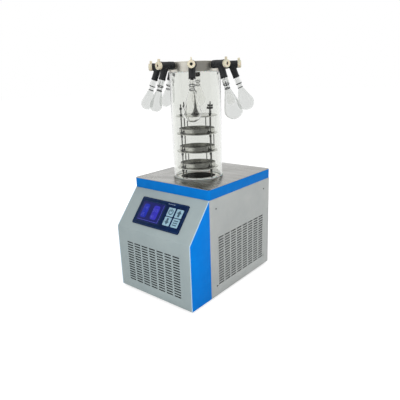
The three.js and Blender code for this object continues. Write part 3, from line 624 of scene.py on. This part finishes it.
# The side panels are cut flat in Y and Z. Their outer faces lie in the cabinet's side planes.
side_outline = rectangle(SLOPE_SETBACK + FIT, DEPTH, FOOT_HEIGHT, COVER_TOP)
side_slots = slot_field(columns=8, rows=19, first_column=213, first_row=63, column_pitch=48.6)
for side, sign, holes in (("left", -1, []), ("right", 1, side_slots)):
    plane = Matrix(((0, 0, sign, sign * HALF_WIDTH), (1, 0, 0, 0), (0, 1, 0, 0), (0, 0, 0, 1)))
    piece(
        f"side_{side}", punched(side_outline, holes, SHEET, SHEET_EASED, walls=1),
        [lit_side_grey, slot_shade_paint], replaces=[f"{side}_side_panel"],
        place=CABINET @ plane, sharp=30,
    )

# Black sheets lie behind the slots, where there is only shade: painted shade of the cabinet's
# inside.
shade_sheets = Shape()
shade_sheets.block(-170, 170, 3, 8, 30, 255)
shade_sheets.block(HALF_WIDTH - 8, HALF_WIDTH - 3, 185, 580, 45, 305)
piece("slot_shade_sheets", shade_sheets, shade_sheet_black, place=CABINET, eased=0.6)

screws = Shape()
screw_head = fillet(
    [(0, 0.2), (1.9, 0.2), (2.3, 1.0), (3.9, 0.5), (4.1, -0.4)], [0, 0.2, 0.4, 0.6, 0],
)
for sign in (-1, 1):
    turn = Matrix.Rotation(sign * pi / 2, 4, "Y")
    for y, z in SIDE_SCREWS:
        screws.lathe(screw_head, Matrix.Translation((sign * HALF_WIDTH, y, z)) @ turn, 20)
for x, z in REAR_SCREWS:
    screws.lathe(screw_head, Matrix.Translation((x, DEPTH, z)) @ ALONG_Y, 20)
piece("cabinet_screws", screws, dark_steel, place=CABINET)

keep("rear_panel", grey_paint, 0.3)
keep("base_pan", galvanised, 0.3)

foot_profile = fillet(
    [(0, 3), (6, 3), (6, 0), (16.5, 0), (18, 2.2), (17, 9.7), (0, 9.7)],
    [0, 0.6, 0.8, 1, 1, 0.8, 0],
)
for name in ("front_left", "front_right", "rear_left", "rear_right"):
    low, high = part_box(f"foot_{name}")
    middle = (low + high) / 2
    piece(
        f"foot_{name}_rubber", Shape().lathe(foot_profile, steps=48), rubber,
        replaces=[f"foot_{name}"], place=at(middle.x, middle.y, low.z),
    )

# Worktop and its trim.
trim_size = [(edge - start) / MM for edge, start in (
    (trim_low.x, CABINET_X), (trim_high.x, CABINET_X),
    (trim_low.y, FRONT_Y), (trim_high.y, FRONT_Y),
)]


def trim_outline(inset, radius):
    x0, x1, y0, y1 = trim_size
    return rectangle(x0 + inset, x1 - inset, y0 + inset, y1 - inset, radius, 8)


piece(
    "trim_frame", punched(
        trim_outline(0, 16), [trim_outline(20, 4)], (trim_high.z - trim_low.z) / MM, 1.4,
    ), shaded_trim_blue, replaces=["worktop_trim"],
    place=CABINET @ Matrix.Translation((0, 0, trim_high.z / MM)), sharp=40,
)
axis_in_cabinet = ((AXIS_X - CABINET_X) / MM, (AXIS_Y - FRONT_Y) / MM)
piece(
    "worktop_plate", punched(trim_outline(0.5, 15.5), [circle(84.1, 96, *axis_in_cabinet)], 2, 0.6),
    brushed, replaces=["worktop"],
    place=CABINET @ Matrix.Translation((0, 0, WORKTOP_Z / MM)), sharp=30,
)

# ---------------------------------------------------------------- control panel
PANEL_DROP = 4        # how far the panel sits below the slope's middle
PANEL_THICKNESS = 4
DISPLAY = (-126, 10, -47, 47)
KEY_HALF = (19.25, 20.25)
KEY_GAP = 0.4         # round each key
slope_place = CABINET @ Matrix.Translation((0, 0, KNEE_HEIGHT)) @ Matrix.Rotation(SLOPE, 4, "X")
PANEL = slope_place @ Matrix.Translation((0, slope_length / 2 - PANEL_DROP, FIT))
key_places = [(x, y) for x in (57, 105) for y in (22.25, -22.25)]
wide, tall = (half + KEY_GAP for half in KEY_HALF)
panel_windows = [rectangle(x - wide, x + wide, y - tall, y + tall, 3) for x, y in key_places]
x0, x1, y0, y1 = DISPLAY
panel_windows.insert(0, rectangle(x0 - FIT, x1 + FIT, y0 - FIT, y1 + FIT, 2))
piece(
    "panel_film",
    punched(rectangle(-143, 143, -67.5, 67.5, 9), panel_windows, PANEL_THICKNESS, 0.5),
    navy, replaces=["control_panel"],
    place=PANEL @ Matrix.Translation((0, 0, PANEL_THICKNESS)), sharp=40,
)


def frame_line(x0, x1, y0, y1, radius, width):
    outer = rectangle(x0, x1, y0, y1, radius)
    inner = rectangle(x0 + width, x1 - width, y0 + width, y1 - width, max(radius - width, 0.5))
    return punched(outer, [inner], 0.1, 0.02)


# Printed lines: their outlines, corner radius and width. They lie on the panel's face.
printed_lines = {
    "panel_border": (-138.5, 138.5, -63, 63, 6.5, 0.7),
    "panel_display_border": (-129.5, 13.5, -50.5, 50.5, 3.5, 0.8),
}
for name, line in printed_lines.items():
    piece(
        name, frame_line(*line), panel_line,
        place=PANEL @ Matrix.Translation((0, 0, PANEL_THICKNESS + 0.08)),
    )
marks = Shape()
for i in range(4):
    marks.prism(rectangle(24 + 11 * i, 31 + 11 * i, 55, 59, 1), 3.6, 4.2)
piece("panel_marks", marks, panel_mark, place=PANEL, eased=0.1)

# Seven-segment figures: the strokes of each one, numbered from the top round to the middle. A
# stroke has its place across and up, from -1 to 1, and whether it stands upright.
FIGURES = {"0": "012345", "1": "12", "2": "01643", "3": "01236", "4": "5612", "5": "05623",
           "6": "054326", "8": "0123456", "-": "6"}
STROKES = [(0, 1, False), (1, 0.5, True), (1, -0.5, True), (0, -1, False), (-1, -0.5, True),
           (-1, 0.5, True), (0, 0, False)]


def figures(shape, text, x, y, tall):
    """A row of lit figures, each one tall millimetres high, from the lower left corner x, y."""
    wide, stroke = 0.5 * tall, 0.11 * tall
    for letter in text:
        for index in FIGURES[letter]:
            across, up, upright = STROKES[int(index)]
            cx, cy = x + wide / 2 * (1 + across), y + tall / 2 * (1 + up)
            dx, dy = (stroke / 2, 0.2 * tall) if upright else (0.2 * tall, stroke / 2)
            shape.prism(rectangle(cx - dx, cx + dx, cy - dy, cy + dy), 3.5, 3.68, number=3)
        x += 0.82 * tall


# The display's glass, a lit line along its right and lower edges, and two lit fields.
display = Shape().prism(rectangle(*DISPLAY, 2), 0, 3.4)
display.prism(rectangle(-122, 6, -43, 43, 1.5), 3.3, 3.46, number=3)
display.prism(rectangle(-122, 4.6, -41.6, 43, 1.5), 3.4, 3.52)
for x0, x1, number in ((-112, -76, 1), (-50, -12, 2)):
    display.prism(rectangle(x0, x1, -32, 36, 12), 3.5, 3.6, number=number)
for text, x, y, tall in (
    ("-48", -110, 10, 12), ("25", -106, -22, 12), ("013", -48, 6, 13), ("60", -44, -24, 11),
):
    figures(display, text, x, y, tall)
piece(
    "display_screen", display, [screen, screen_blue, screen_violet, screen_text],
    replaces=["display"], place=PANEL, eased=0.05,
)


def arrow(direction):
    tip = [(0, 15), (14, 0), (6, 0), (6, -15), (-6, -15), (-6, 0), (-14, 0)]
    return [(x, direction * y) for x, y in (tip if direction > 0 else tip[::-1])]


def arc_bar(radius, width, start, end):
    turns = [radians(start + (end - start) * i / 28) for i in range(29)]
    outer = [(radius * cos(a), radius * sin(a)) for a in turns]
    inner = [((radius - width) * cos(a), (radius - width) * sin(a)) for a in turns]
    return outer + inner[::-1]


# An arc with a bar, a down arrow, an up arrow and three bars.
key_symbols = {
    1: [arc_bar(14, 5, 115, 425), rectangle(-2.6, 2.6, 1, 16)],
    2: [arrow(-1)],
    3: [arrow(1)],
    4: [rectangle(-13, 13, y - 2.7, y + 2.7, 0.8) for y in (10, 0, -10)],
}
wide, tall = KEY_HALF
for number, (x, y) in enumerate(key_places, 1):
    key = Shape()
    outline = rectangle(-wide, wide, -tall, tall, 2.8, 5)
    raised = [(a * 0.93, b * 0.93) for a, b in outline]
    key.prism(outline, 1.1, 4.1)
    key.prism(raised, 4.0, 4.42)
    for symbol in key_symbols[number]:
        key.prism(symbol, 4.3, 4.48, number=1)
    piece(
        f"key_{number}_pad", key, [key_film, key_symbol], f"key_{number}_body",
        [f"key_{number}"], place=PANEL @ Matrix.Translation((x, y, 0)), eased=0.12,
    )

# ---------------------------------------------------------------- cold trap, chamber and head
trap_rim = fillet(
    [(82, -4), (82, 0.4), (84, 1.8), (98, 1.8), (98, 0.4), (83.5, 0.4), (83.5, -4)],
    [0, 0.6, 0.8, 0.5, 0.3, 0.4, 0],
)
trap_inside = fillet([(82, -4), (82, -165), (0, -165)], [0, 2, 0])
trap_outside = fillet([(83.5, -4), (83.5, -168), (0, -168)], [0, 1, 0])
trap = Shape().lathe(trap_rim, steps=96)
# The pot's inside wall takes the painted shade.
trap.lathe(trap_inside, steps=96, number=1).lathe(trap_outside, steps=96)
piece(
    "trap_pot", trap, [polished, trap_shade_paint], place=TOWER,
    replaces=["cold_trap", "cold_trap_floor"],
)

coil_turns, turn_steps, coil_radius, pitch = 4, 48, 90, 12
coil_path = []
for i in range(coil_turns * turn_steps + 1):
    turn = 2 * pi * i / turn_steps
    coil_path.append((coil_radius * cos(turn), coil_radius * sin(turn), pitch * i / turn_steps))
piece(
    "evaporator_tube", Shape().tube(coil_path, 5, sides=14), copper,
    place=TOWER @ Matrix.Translation((0, 0, -153)),
)


def ring(inner, outer, high, radius, steps):
    """A ring from height 0 to high, with its edges rounded."""
    corners = [(inner, 0), (outer, 0), (outer, high), (inner, high)]
    return Shape().lathe(fillet(corners, radius, closed=True), steps=steps, closed=True)


chamber_height = (chamber_high.z - chamber_low.z) / MM
chamber_radius = (chamber_high.x - chamber_low.x) / 2 / MM
chamber_inside = chamber_radius - CHAMBER_WALL
piece(
    "chamber_tube", ring(chamber_inside, chamber_radius, chamber_height, 1.2, 160),
    acrylic, replaces=["chamber_cylinder"],
    place=at(AXIS_X, AXIS_Y, chamber_low.z),
)
for name, node in (("chamber_seal", "chamber_gasket"), ("lid_seal", "lid_gasket")):
    seal = ring(
        chamber_inside - GASKET_LIP, chamber_radius + GASKET_LIP, GASKET_THICKNESS, 1.1, 128,
    )
    piece(
        name, seal, silicone, replaces=[node],
        place=at(AXIS_X, AXIS_Y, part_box(node)[0].z),
    )

# The head has a fine groove near its top. Each stub has a collar, and a rubber sleeve on it.
inside_head = HEAD_RADIUS - HEAD_WALL
head_wall = fillet(
    [
        (0, HEAD_HEIGHT), (HEAD_RADIUS, HEAD_HEIGHT), (HEAD_RADIUS, 37), (118.2, 36.4),
        (118.2, 35.6), (HEAD_RADIUS, 35), (HEAD_RADIUS, 0), (chamber_inside, 0),
        (chamber_inside, 8), (inside_head, 8), (inside_head, 39), (0, 39),
    ],
    [0, 2.5, 0.4, 0.2, 0.2, 0.4, 1.2, 0.8, 0.8, 1, 2, 0],
)
stub = fillet(
    [
        (COLLAR_RADIUS, inside_head), (COLLAR_RADIUS, COLLAR_REACH), (STUB_RADIUS, COLLAR_REACH),
        (STUB_RADIUS, STUB_REACH), (STUB_BORE, STUB_REACH), (STUB_BORE, inside_head),
    ],
    [0, 0.8, 0.3, 0.8, 0.8, 0],
)
on_collar = COLLAR_RADIUS + 0.1
sleeve = fillet(
    [
        (on_collar, SLEEVE_START), (BARREL_RADIUS, SLEEVE_START), (BARREL_RADIUS, COLLAR_REACH),
        (on_collar, COLLAR_REACH),
    ],
    [0, 0.6, 0.6, 0],
)
head = Shape().lathe(head_wall, steps=160)
sleeves = Shape()
for number in range(1, 9):
    port = station(number)
    place = Matrix.Translation((0, 0, PORT_HEIGHT)) @ Matrix.Scale(1 / MM, 4) @ Matrix.Translation(
        (-AXIS_X, -AXIS_Y, -port.translation.z)) @ port @ ALONG_X
    head.lathe(stub, place, 40, 1, closed=True)
    sleeves.lathe(sleeve, place, 40, closed=True)
piece(
    "head_drum", head, [drum_steel, stub_steel], replaces=["manifold_head"],
    place=at(AXIS_X, AXIS_Y, HEAD_FOOT),
)
piece("port_sleeves", sleeves, rubber, place=at(AXIS_X, AXIS_Y, HEAD_FOOT))

# ---------------------------------------------------------------- rack and trays
rack_levels = [(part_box(f"tray_{i}")[0].z - WORKTOP_Z) / MM for i in (1, 2, 3)]
levels = [*rack_levels, TOP_PLATE]
PLATE_TOP, PLATE_EDGE = -0.3, -4.2    # a plate's face and its rim's foot, from its level
rack = Shape()
for level in levels:
    face, rim = level + PLATE_TOP, level + PLATE_EDGE
    rack.lathe(fillet(
        [(0, level - 1.8), (94.5, level - 1.8), (94.5, rim), (PLATE_RADIUS, rim),
         (PLATE_RADIUS, face), (0, face)], [0, 0.6, 0.3, 0.3, 0.9, 0],
    ), steps=120)
rod_places = []
for number in (2, 4, 6, 8):
    out = station(number).to_3x3() @ Vector((1, 0, 0))
    out.normalize()
    rod_places.append(Matrix.Translation((out.x * ROD_CIRCLE, out.y * ROD_CIRCLE, 0)))
rods = Shape()
rod = fillet([(0, 2.1), (ROD_RADIUS, 2.1), (ROD_RADIUS, ROD_TOP), (0, ROD_TOP)], [0, 0.5, 1, 0])
for place in rod_places:
    rods.lathe(rod, place, 24)
# Thin legs between the plates: the number of the lower plate, and the angles they stand at.
for lower, angles in ((0, (100, 160)), (1, (66,)), (2, (100, 160))):
    foot, top = levels[lower] + PLATE_TOP, levels[lower + 1] + PLATE_EDGE
    for angle in angles:
        out = Matrix.Rotation(radians(angle), 4, "Z") @ Matrix.Translation((ROD_CIRCLE, 0, 0))
        rods.lathe([(0, foot), (LEG_RADIUS, foot), (LEG_RADIUS, top), (0, top)], out, 16)
piece("rack_rods", rods, rod_steel, place=TOWER)
hub = TOP_PLATE - 1
handle_profile = curve([
    (26, hub + 4), (19, hub + 10), (12, hub + 22), (8, hub + 36), (7, hub + 50), (5.2, hub + 56),
    (4.5, hub + 66), (4.5, 386),
], 5)
rack.lathe(
    [(0, hub), (25.4, hub), (26, hub + 0.6), *handle_profile, (4, 388.5), (2.5, 390), (0, 390)],
    steps=48, number=1,
)
piece(
    "rack_steel", rack, [satin, rod_steel], replaces=["rack_frame"],
    place=TOWER,
)

fittings = Shape()
sleeve = fillet([(3.2, 0), (5.2, 0), (5.2, 11), (3.2, 11)], 0.5, closed=True)
sleeve_feet = [level + side for level in rack_levels for side in (-15.4, 0.2)] + [TOP_PLATE]
for place in rod_places:
    for foot in sleeve_feet:
        fittings.lathe(sleeve, place @ Matrix.Translation((0, 0, foot)), 24, closed=True)
piece("rack_sleeves", fittings, dark_steel, place=TOWER)

# Wing nuts on the rods' upper ends. Each one stands at its own angle.
nuts = Shape()
nut = fillet([(3.1, 0), (6.5, 0), (5, 8), (3.1, 8)], [0.3, 0.8, 1, 0.3], closed=True)
wing = fillet([(3, 0), (13, 0), (14, 9), (9, 10), (3, 7)], [0, 2, 2, 2, 1])
wing += [(-x, y) for x, y in wing[::-1]]
upright_wing = Matrix(((1, 0, 0, 0), (0, 0, -1, 0), (0, 1, 0, 0), (0, 0, 0, 1)))
for place, turn in zip(rod_places, (42, 30, 118, 135)):
    seat = place @ Matrix.Translation((0, 0, NUT_HEIGHT))
    nuts.lathe(nut, seat, 24, closed=True)
    nuts.prism(wing, -1.8, 1.8, seat @ Matrix.Rotation(radians(turn), 4, "Z") @ upright_wing)
piece("rack_nuts", nuts, dark_steel, place=TOWER, eased=0.3, sharp=30)

tray_profile = fillet(
    [(0, 0), (80.5, 0), (84, 3.5), (84, 21), (82.2, 21), (82.2, 19.6), (82.8, 19.6), (82.8, 4.4),
     (79.8, 1.2), (0, 1.2)],
    [0, 2, 2.5, 0.8, 0.4, 0.2, 0.2, 2, 2, 0],
)
for number, level in enumerate(rack_levels, 1):
    piece(
        f"tray_{number}_pan", Shape().lathe(tray_profile, steps=120), satin,
        replaces=[f"tray_{number}"], place=TOWER @ Matrix.Translation((0, 0, level)),
    )

# ---------------------------------------------------------------- valves, knobs and flasks
ARM = Matrix.Translation((ARM_START, 0, 0)) @ Matrix.Rotation(-ARM_TILT, 4, "Y") @ Matrix.Rotation(
    pi, 4, "X")
barrel_start = COLLAR_REACH + FIT
barrel = fillet(
    [(10.5, barrel_start), (BARREL_RADIUS, barrel_start), (BARREL_RADIUS, 150), (16.2, 151.5),
     (16.2, 185), (BARREL_RADIUS, 186.5), (BARREL_RADIUS, BARREL_END), (6.9, BARREL_END),
     (6.9, 182), (0, 182), (0, 158), (10.5, 158)],
    [0.5, 1.5, 0.8, 0.8, 0.8, 0.8, 1.8, 0.8, 0, 0, 0, 0],
)
arm = fillet(
    [(0, 0), (15, 0), (14.2, 54), (15, 56), (15, ARM_LENGTH), (10.2, ARM_LENGTH), (10.2, 38),
     (0, 38)],
    [0, 6, 1, 0.8, 1.4, 0.8, 0, 0],
)


def moulded(shape, cell, rounds):
    """One skin round a shape's overlapping parts, with soft corners, as a mesh."""
    mesh = bpy.data.meshes.new("moulded")
    mesh.from_pydata([tuple(v) for v in shape.verts], [], shape.faces)
    thing = bpy.data.objects.new("moulded", mesh)
    bpy.context.scene.collection.objects.link(thing)
    remesh = thing.modifiers.new("skin", "REMESH")
    remesh.mode, remesh.voxel_size = "VOXEL", cell
    soften = thing.modifiers.new("soften", "SMOOTH")
    soften.factor, soften.iterations = 0.5, rounds
    lighter = thing.modifiers.new("lighter", "DECIMATE")
    lighter.ratio = 0.2
    bpy.context.view_layer.update()
    evaluated = thing.evaluated_get(bpy.context.evaluated_depsgraph_get())
    made = bpy.data.meshes.new_from_object(evaluated)
    bpy.data.objects.remove(thing)
    return made


valve_skin = moulded(
    Shape().lathe(barrel, ALONG_X, 72, closed=True).lathe(arm, ARM, 72), cell=0.9, rounds=4,
)

# The knob's stem and round body, a rubber plug in its end, and the fin that the hand turns.
knob = Shape().lathe(fillet(
    [(0, 183), (6, 183), (6, 192.3), (16, 192.3), (16, 208.3), (7.4, 208.3), (6, 206.9),
     (6, 199.3), (0, 199.3)], [0, 0.5, 0.5, 1.6, 2.2, 0.8, 0.6, 0.5, 0],
), ALONG_X, 64)
knob.lathe(fillet([(0, 199), (5.9, 199), (5.9, 204), (0, 203)], [0, 0.3, 1, 0]), ALONG_X, 40, 1)
fin_outline = fillet([(-3.5, 10), (3.5, 10), (2.2, 27), (-2.2, 27)], [0, 0, 2, 2], closed=True)
knob.prism(fin_outline, 192.8, 203.5, UPRIGHT)


def flask_profile(diameter, length):
    """Blown glass from the spigot in the valve's arm to the round bottom, as a closed profile."""
    bulb, wall = diameter / 2, FLASK_WALL
    middle = 48 + length - bulb
    reach, angle = hypot(15.6, middle - 58), atan2(15.6, middle - 58)
    leave = pi / 2 - acos(bulb / reach) - angle
    lower = [-leave + (pi / 2 + leave) * a / 10 for a in range(11)]
    ball = [(bulb * cos(a), middle + bulb * sin(a)) for a in lower]
    shoulder = fillet([(10.6, 34), (10.6, 48), (15.6, 58), ball[0]], [0, 8, 25, 0], steps=6)
    neck = [(9.6, -23), (9.6, 0.8), (13, 4), (13.5, 7), (13.5, 24), (12.2, 29)]
    outer = [*neck, *shoulder[:-1], *ball[:-1], (0, middle + bulb)]
    inner_ball = [((bulb - wall) * cos(a), middle + (bulb - wall) * sin(a)) for a in lower]
    inner = [(0, middle + bulb - wall), *inner_ball[:-1][::-1]]
    inner += [(r - wall, h) for r, h in shoulder[:-1][::-1]] + [(7.6, 30), (7.6, -23)]
    return [*outer, *inner]


# Two oval rings on each flask's neck.
rings = Shape()
for radius, height in ((12.9, 27.5), (11.1, 46)):
    turns = [2 * pi * i / 16 for i in range(16)]
    oval = [(radius + 1.2 * cos(a), height + 1.9 * sin(a)) for a in turns]
    rings.lathe(oval, steps=48, closed=True)
down_the_arm = ARM @ Matrix.Translation((0, 0, ARM_LENGTH))
for number, (diameter, length) in enumerate(FLASKS, 1):
    place = station(number)
    piece(
        f"valve_{number}_moulding", valve_skin, rubber,
        replaces=[f"valve_{number}"], place=place, sharp=60,
    )
    piece(
        f"valve_knob_{number}_moulding", knob, [ivory, rubber],
        f"valve_knob_{number}_body", [f"valve_knob_{number}"], place=place,
    )
    flask = Shape().lathe(flask_profile(diameter * FACET_SHARE, length), steps=80, closed=True)
    piece(
        f"flask_{number}_glass", flask, paler_glass_copy if number in PALER_GLASS_FLASKS else glass,
        replaces=[f"flask_{number}"], place=place @ down_the_arm, sharp=50,
    )
    piece(f"flask_{number}_rings", rings, grey_rubber, place=place @ down_the_arm)

# ---------------------------------------------------------------- refrigeration and back fittings
condenser_low, condenser_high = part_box("condenser")
fins = Shape()
core_low, core_high = condenser_low / MM, condenser_high / MM
fin_count, fin_thickness, fin_inset, end_plate = 85, 0.4, 1.5, 2
for i in range(fin_count):
    x = core_low.x + 3 + i * (core_high.x - core_low.x - 6.4) / (fin_count - 1)
    fins.block(
        x, x + fin_thickness, core_low.y + fin_inset, core_high.y - fin_inset,
        core_low.z + fin_inset, core_high.z - fin_inset,
    )
for x in (core_low.x, core_high.x - end_plate):
    fins.block(x, x + end_plate, core_low.y, core_high.y, core_low.z, core_high.z)
piece(
    "condenser_fins", fins, aluminium, replaces=["condenser"],
    place=Matrix.Scale(MM, 4),
)
tubes = Shape()
tube_rows, tube_pitch = 9, 27
for row in range(tube_rows):
    for y in (core_low.y + 11, core_high.y - 11):
        z = core_low.z + 17 + row * tube_pitch
        tubes.tube([(core_low.x + 0.5, y, z), (core_high.x - 0.5, y, z)], 4.5)
piece("condenser_tubes", tubes, copper, place=Matrix.Scale(MM, 4))
keep("fan_shroud", black_paint, 0.4)
keep("fan_rotor", aluminium, 0.3)

low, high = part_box("compressor")
middle = (low + high) / 2
dome = [(78 * cos(radians(a)), 140 + 45 * sin(radians(a))) for a in range(0, 90, 9)]
can = fillet(
    [(0, 8), (53, 8), (73, 25), (78, 45), (78, 92), (81, 92), (81, 98), (78, 98), (78, 139)],
    [0, 6, 14, 14, 1, 1.5, 1.5, 1, 0],
)
compressor = Shape().lathe([*can, *dome, (0, 185)], steps=96)
compressor.block(-78, 78, -28, 28, 3, 12)
grommet = fillet([(0, 0), (10, 0), (10, 6), (0, 6)], [0, 1, 1, 0])
for x in (-64, 64):
    compressor.lathe(grommet, Matrix.Translation((x, 0, 0)), 32)
piece(
    "compressor_shell", compressor, black_paint, replaces=["compressor"],
    place=at(middle.x, middle.y, low.z), sharp=40,
)

port_low, port_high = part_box("vacuum_port")
port_length = (port_high.y - port_low.y) / MM
port_axis = at((port_low.x + port_high.x) / 2, port_low.y, (port_low.z + port_high.z) / 2)
# The collar lies against the rear panel's inside.
collar = (DEPTH - SHEET - FIT) - ((port_low.y - FRONT_Y) / MM)
port_profile = fillet([
    (14, 0), (14, collar - 3), (26, collar - 3), (26, collar), (14, collar), (14, port_length - 8),
    (20, port_length - 4), (20, port_length), (13, port_length), (12.6, port_length - 2),
    (11, port_length - 2.4), (11, 0),
], [0.3, 0.4, 0.6, 0.6, 0.6, 2, 0.8, 0.6, 0.3, 0.3, 0.3, 0.3], closed=True)
piece(
    "vacuum_port_pipe", Shape().lathe(port_profile, ALONG_Y, 72, closed=True), polished,
    replaces=["vacuum_port"], place=port_axis,
)
keep("power_inlet", black_plastic, 0.4)
keep("power_switch", black_plastic, 0.3)

# ---------------------------------------------------------------- floor, light and camera
scene = bpy.context.scene
scene.view_settings.view_transform = "Standard"


# Surfaces that mirror the studio see pale paper, and a dim room in this direction.
ROOM = Vector((0.889, -0.458, 0))
PAPER, DIM = 1.0, 0.28
FLOOR_TONE, FLOOR_GLOW = 0.6, 0.62
SKY_ON_MATT = 0.66    # light from the world on matt surfaces
FLOOR_HALF = 30


def brightness(finish, place, scattered):
    """1 where the camera sees the place, straight or through glass. In a mirror it falls from
    PAPER to DIM as the place turns towards the room. Matt surfaces get the scattered amount."""
    path = finish.add("ShaderNodeLightPath").outputs
    towards = finish.add("ShaderNodeVectorMath", operation="NORMALIZE")
    finish.feed(towards, {0: place})
    share = finish.add("ShaderNodeVectorMath", operation="DOT_PRODUCT")
    finish.feed(share, {0: towards.outputs["Vector"], 1: ROOM})
    mirrored = finish.spread(share.outputs["Value"], PAPER, DIM, 0.5, 0.78)
    in_mirror = finish.maths("GREATER_THAN", path["Glossy Depth"], 0.5)
    in_matt = finish.maths("GREATER_THAN", path["Diffuse Depth"], 0.5)
    seen = finish.feed(finish.add("ShaderNodeMix"), {0: in_mirror, 2: 1.0, 3: mirrored})
    lit = finish.feed(finish.add("ShaderNodeMix"), {0: in_matt, 2: seen.outputs[0], 3: scattered})
    return lit.outputs[0]


floor_finish = Finish("floor")
floor_finish.feed(floor_finish.shader, {
    "Base Color": floor_finish.maths(
        "MULTIPLY", brightness(floor_finish, floor_finish.place, 1.0), FLOOR_TONE,
    ),
    "Roughness": 1.0, "Specular IOR Level": 0.0, "Emission Color": (1, 1, 1, 1),
    "Emission Strength": floor_finish.maths(
        "MULTIPLY", brightness(floor_finish, floor_finish.place, 0.0), FLOOR_GLOW,
    ),
})
floor_mesh = bpy.data.meshes.new("floor")
corners = rectangle(-FLOOR_HALF, FLOOR_HALF, -FLOOR_HALF, FLOOR_HALF)
floor_mesh.from_pydata([(x, y, 0) for x, y in corners], [], [(0, 1, 2, 3)])
floor_mesh.materials.append(floor_finish.material)
floor = bpy.data.objects.new("floor", floor_mesh)
scene.collection.objects.link(floor)

world = bpy.data.worlds.new("studio")
world.use_nodes = True
scene.world = world
studio = Finish.__new__(Finish)
studio.material, studio.nodes = world, world.node_tree.nodes
direction = studio.add("ShaderNodeTexCoord").outputs["Generated"]
strength = brightness(studio, direction, SKY_ON_MATT)
studio.feed(studio.nodes["Background"], {"Color": (1, 1, 1, 1), "Strength": strength})


def softbox(name, place, target, width, height, power):
    data = bpy.data.lights.new(name, "AREA")
    data.shape, data.size, data.size_y, data.energy = "RECTANGLE", width, height, power
    lamp = bpy.data.objects.new(name, data)
    lamp.location = place
    lamp.rotation_mode = "QUATERNION"
    lamp.rotation_quaternion = (Vector(target) - Vector(place)).to_track_quat("-Z", "Y")
    lamp.visible_glossy = lamp.visible_transmission = False
    scene.collection.objects.link(lamp)


softbox("key", (0.75, -1.5, 0.95), (0.1, -0.1, 0.45), 1.2, 1.0, 14)
softbox("fill", (2.3, 0.5, 1.2), (0, 0, 0.5), 1.4, 1.4, 14)
softbox("back", (-1.6, 1.9, 1.4), (0, 0, 0.5), 1.4, 1.4, 20)

# The camera's place is from the middle of the cabinet's front edge.
CAMERA_PLACE = Vector((1.2159, -1.1164, 0.9476))
yaw, pitch, roll = radians(-39.748), radians(16.675), radians(-1.926)
camera_data = bpy.data.cameras.new("camera")
camera_data.sensor_width, camera_data.lens = 36, 35.90
camera = bpy.data.objects.new("camera", camera_data)
ahead = Vector((sin(yaw) * cos(pitch), cos(yaw) * cos(pitch), -sin(pitch)))
level = Vector((cos(yaw), -sin(yaw), 0))
upward = level.cross(ahead)
right = cos(roll) * level + sin(roll) * upward
above = -sin(roll) * level + cos(roll) * upward
basis = Matrix((right, above, -ahead)).transposed().to_4x4()
origin = Vector((CABINET_X, FRONT_Y, front_low.z))
camera.matrix_world = Matrix.Translation(origin + CAMERA_PLACE) @ basis
scene.collection.objects.link(camera)
scene.camera = camera
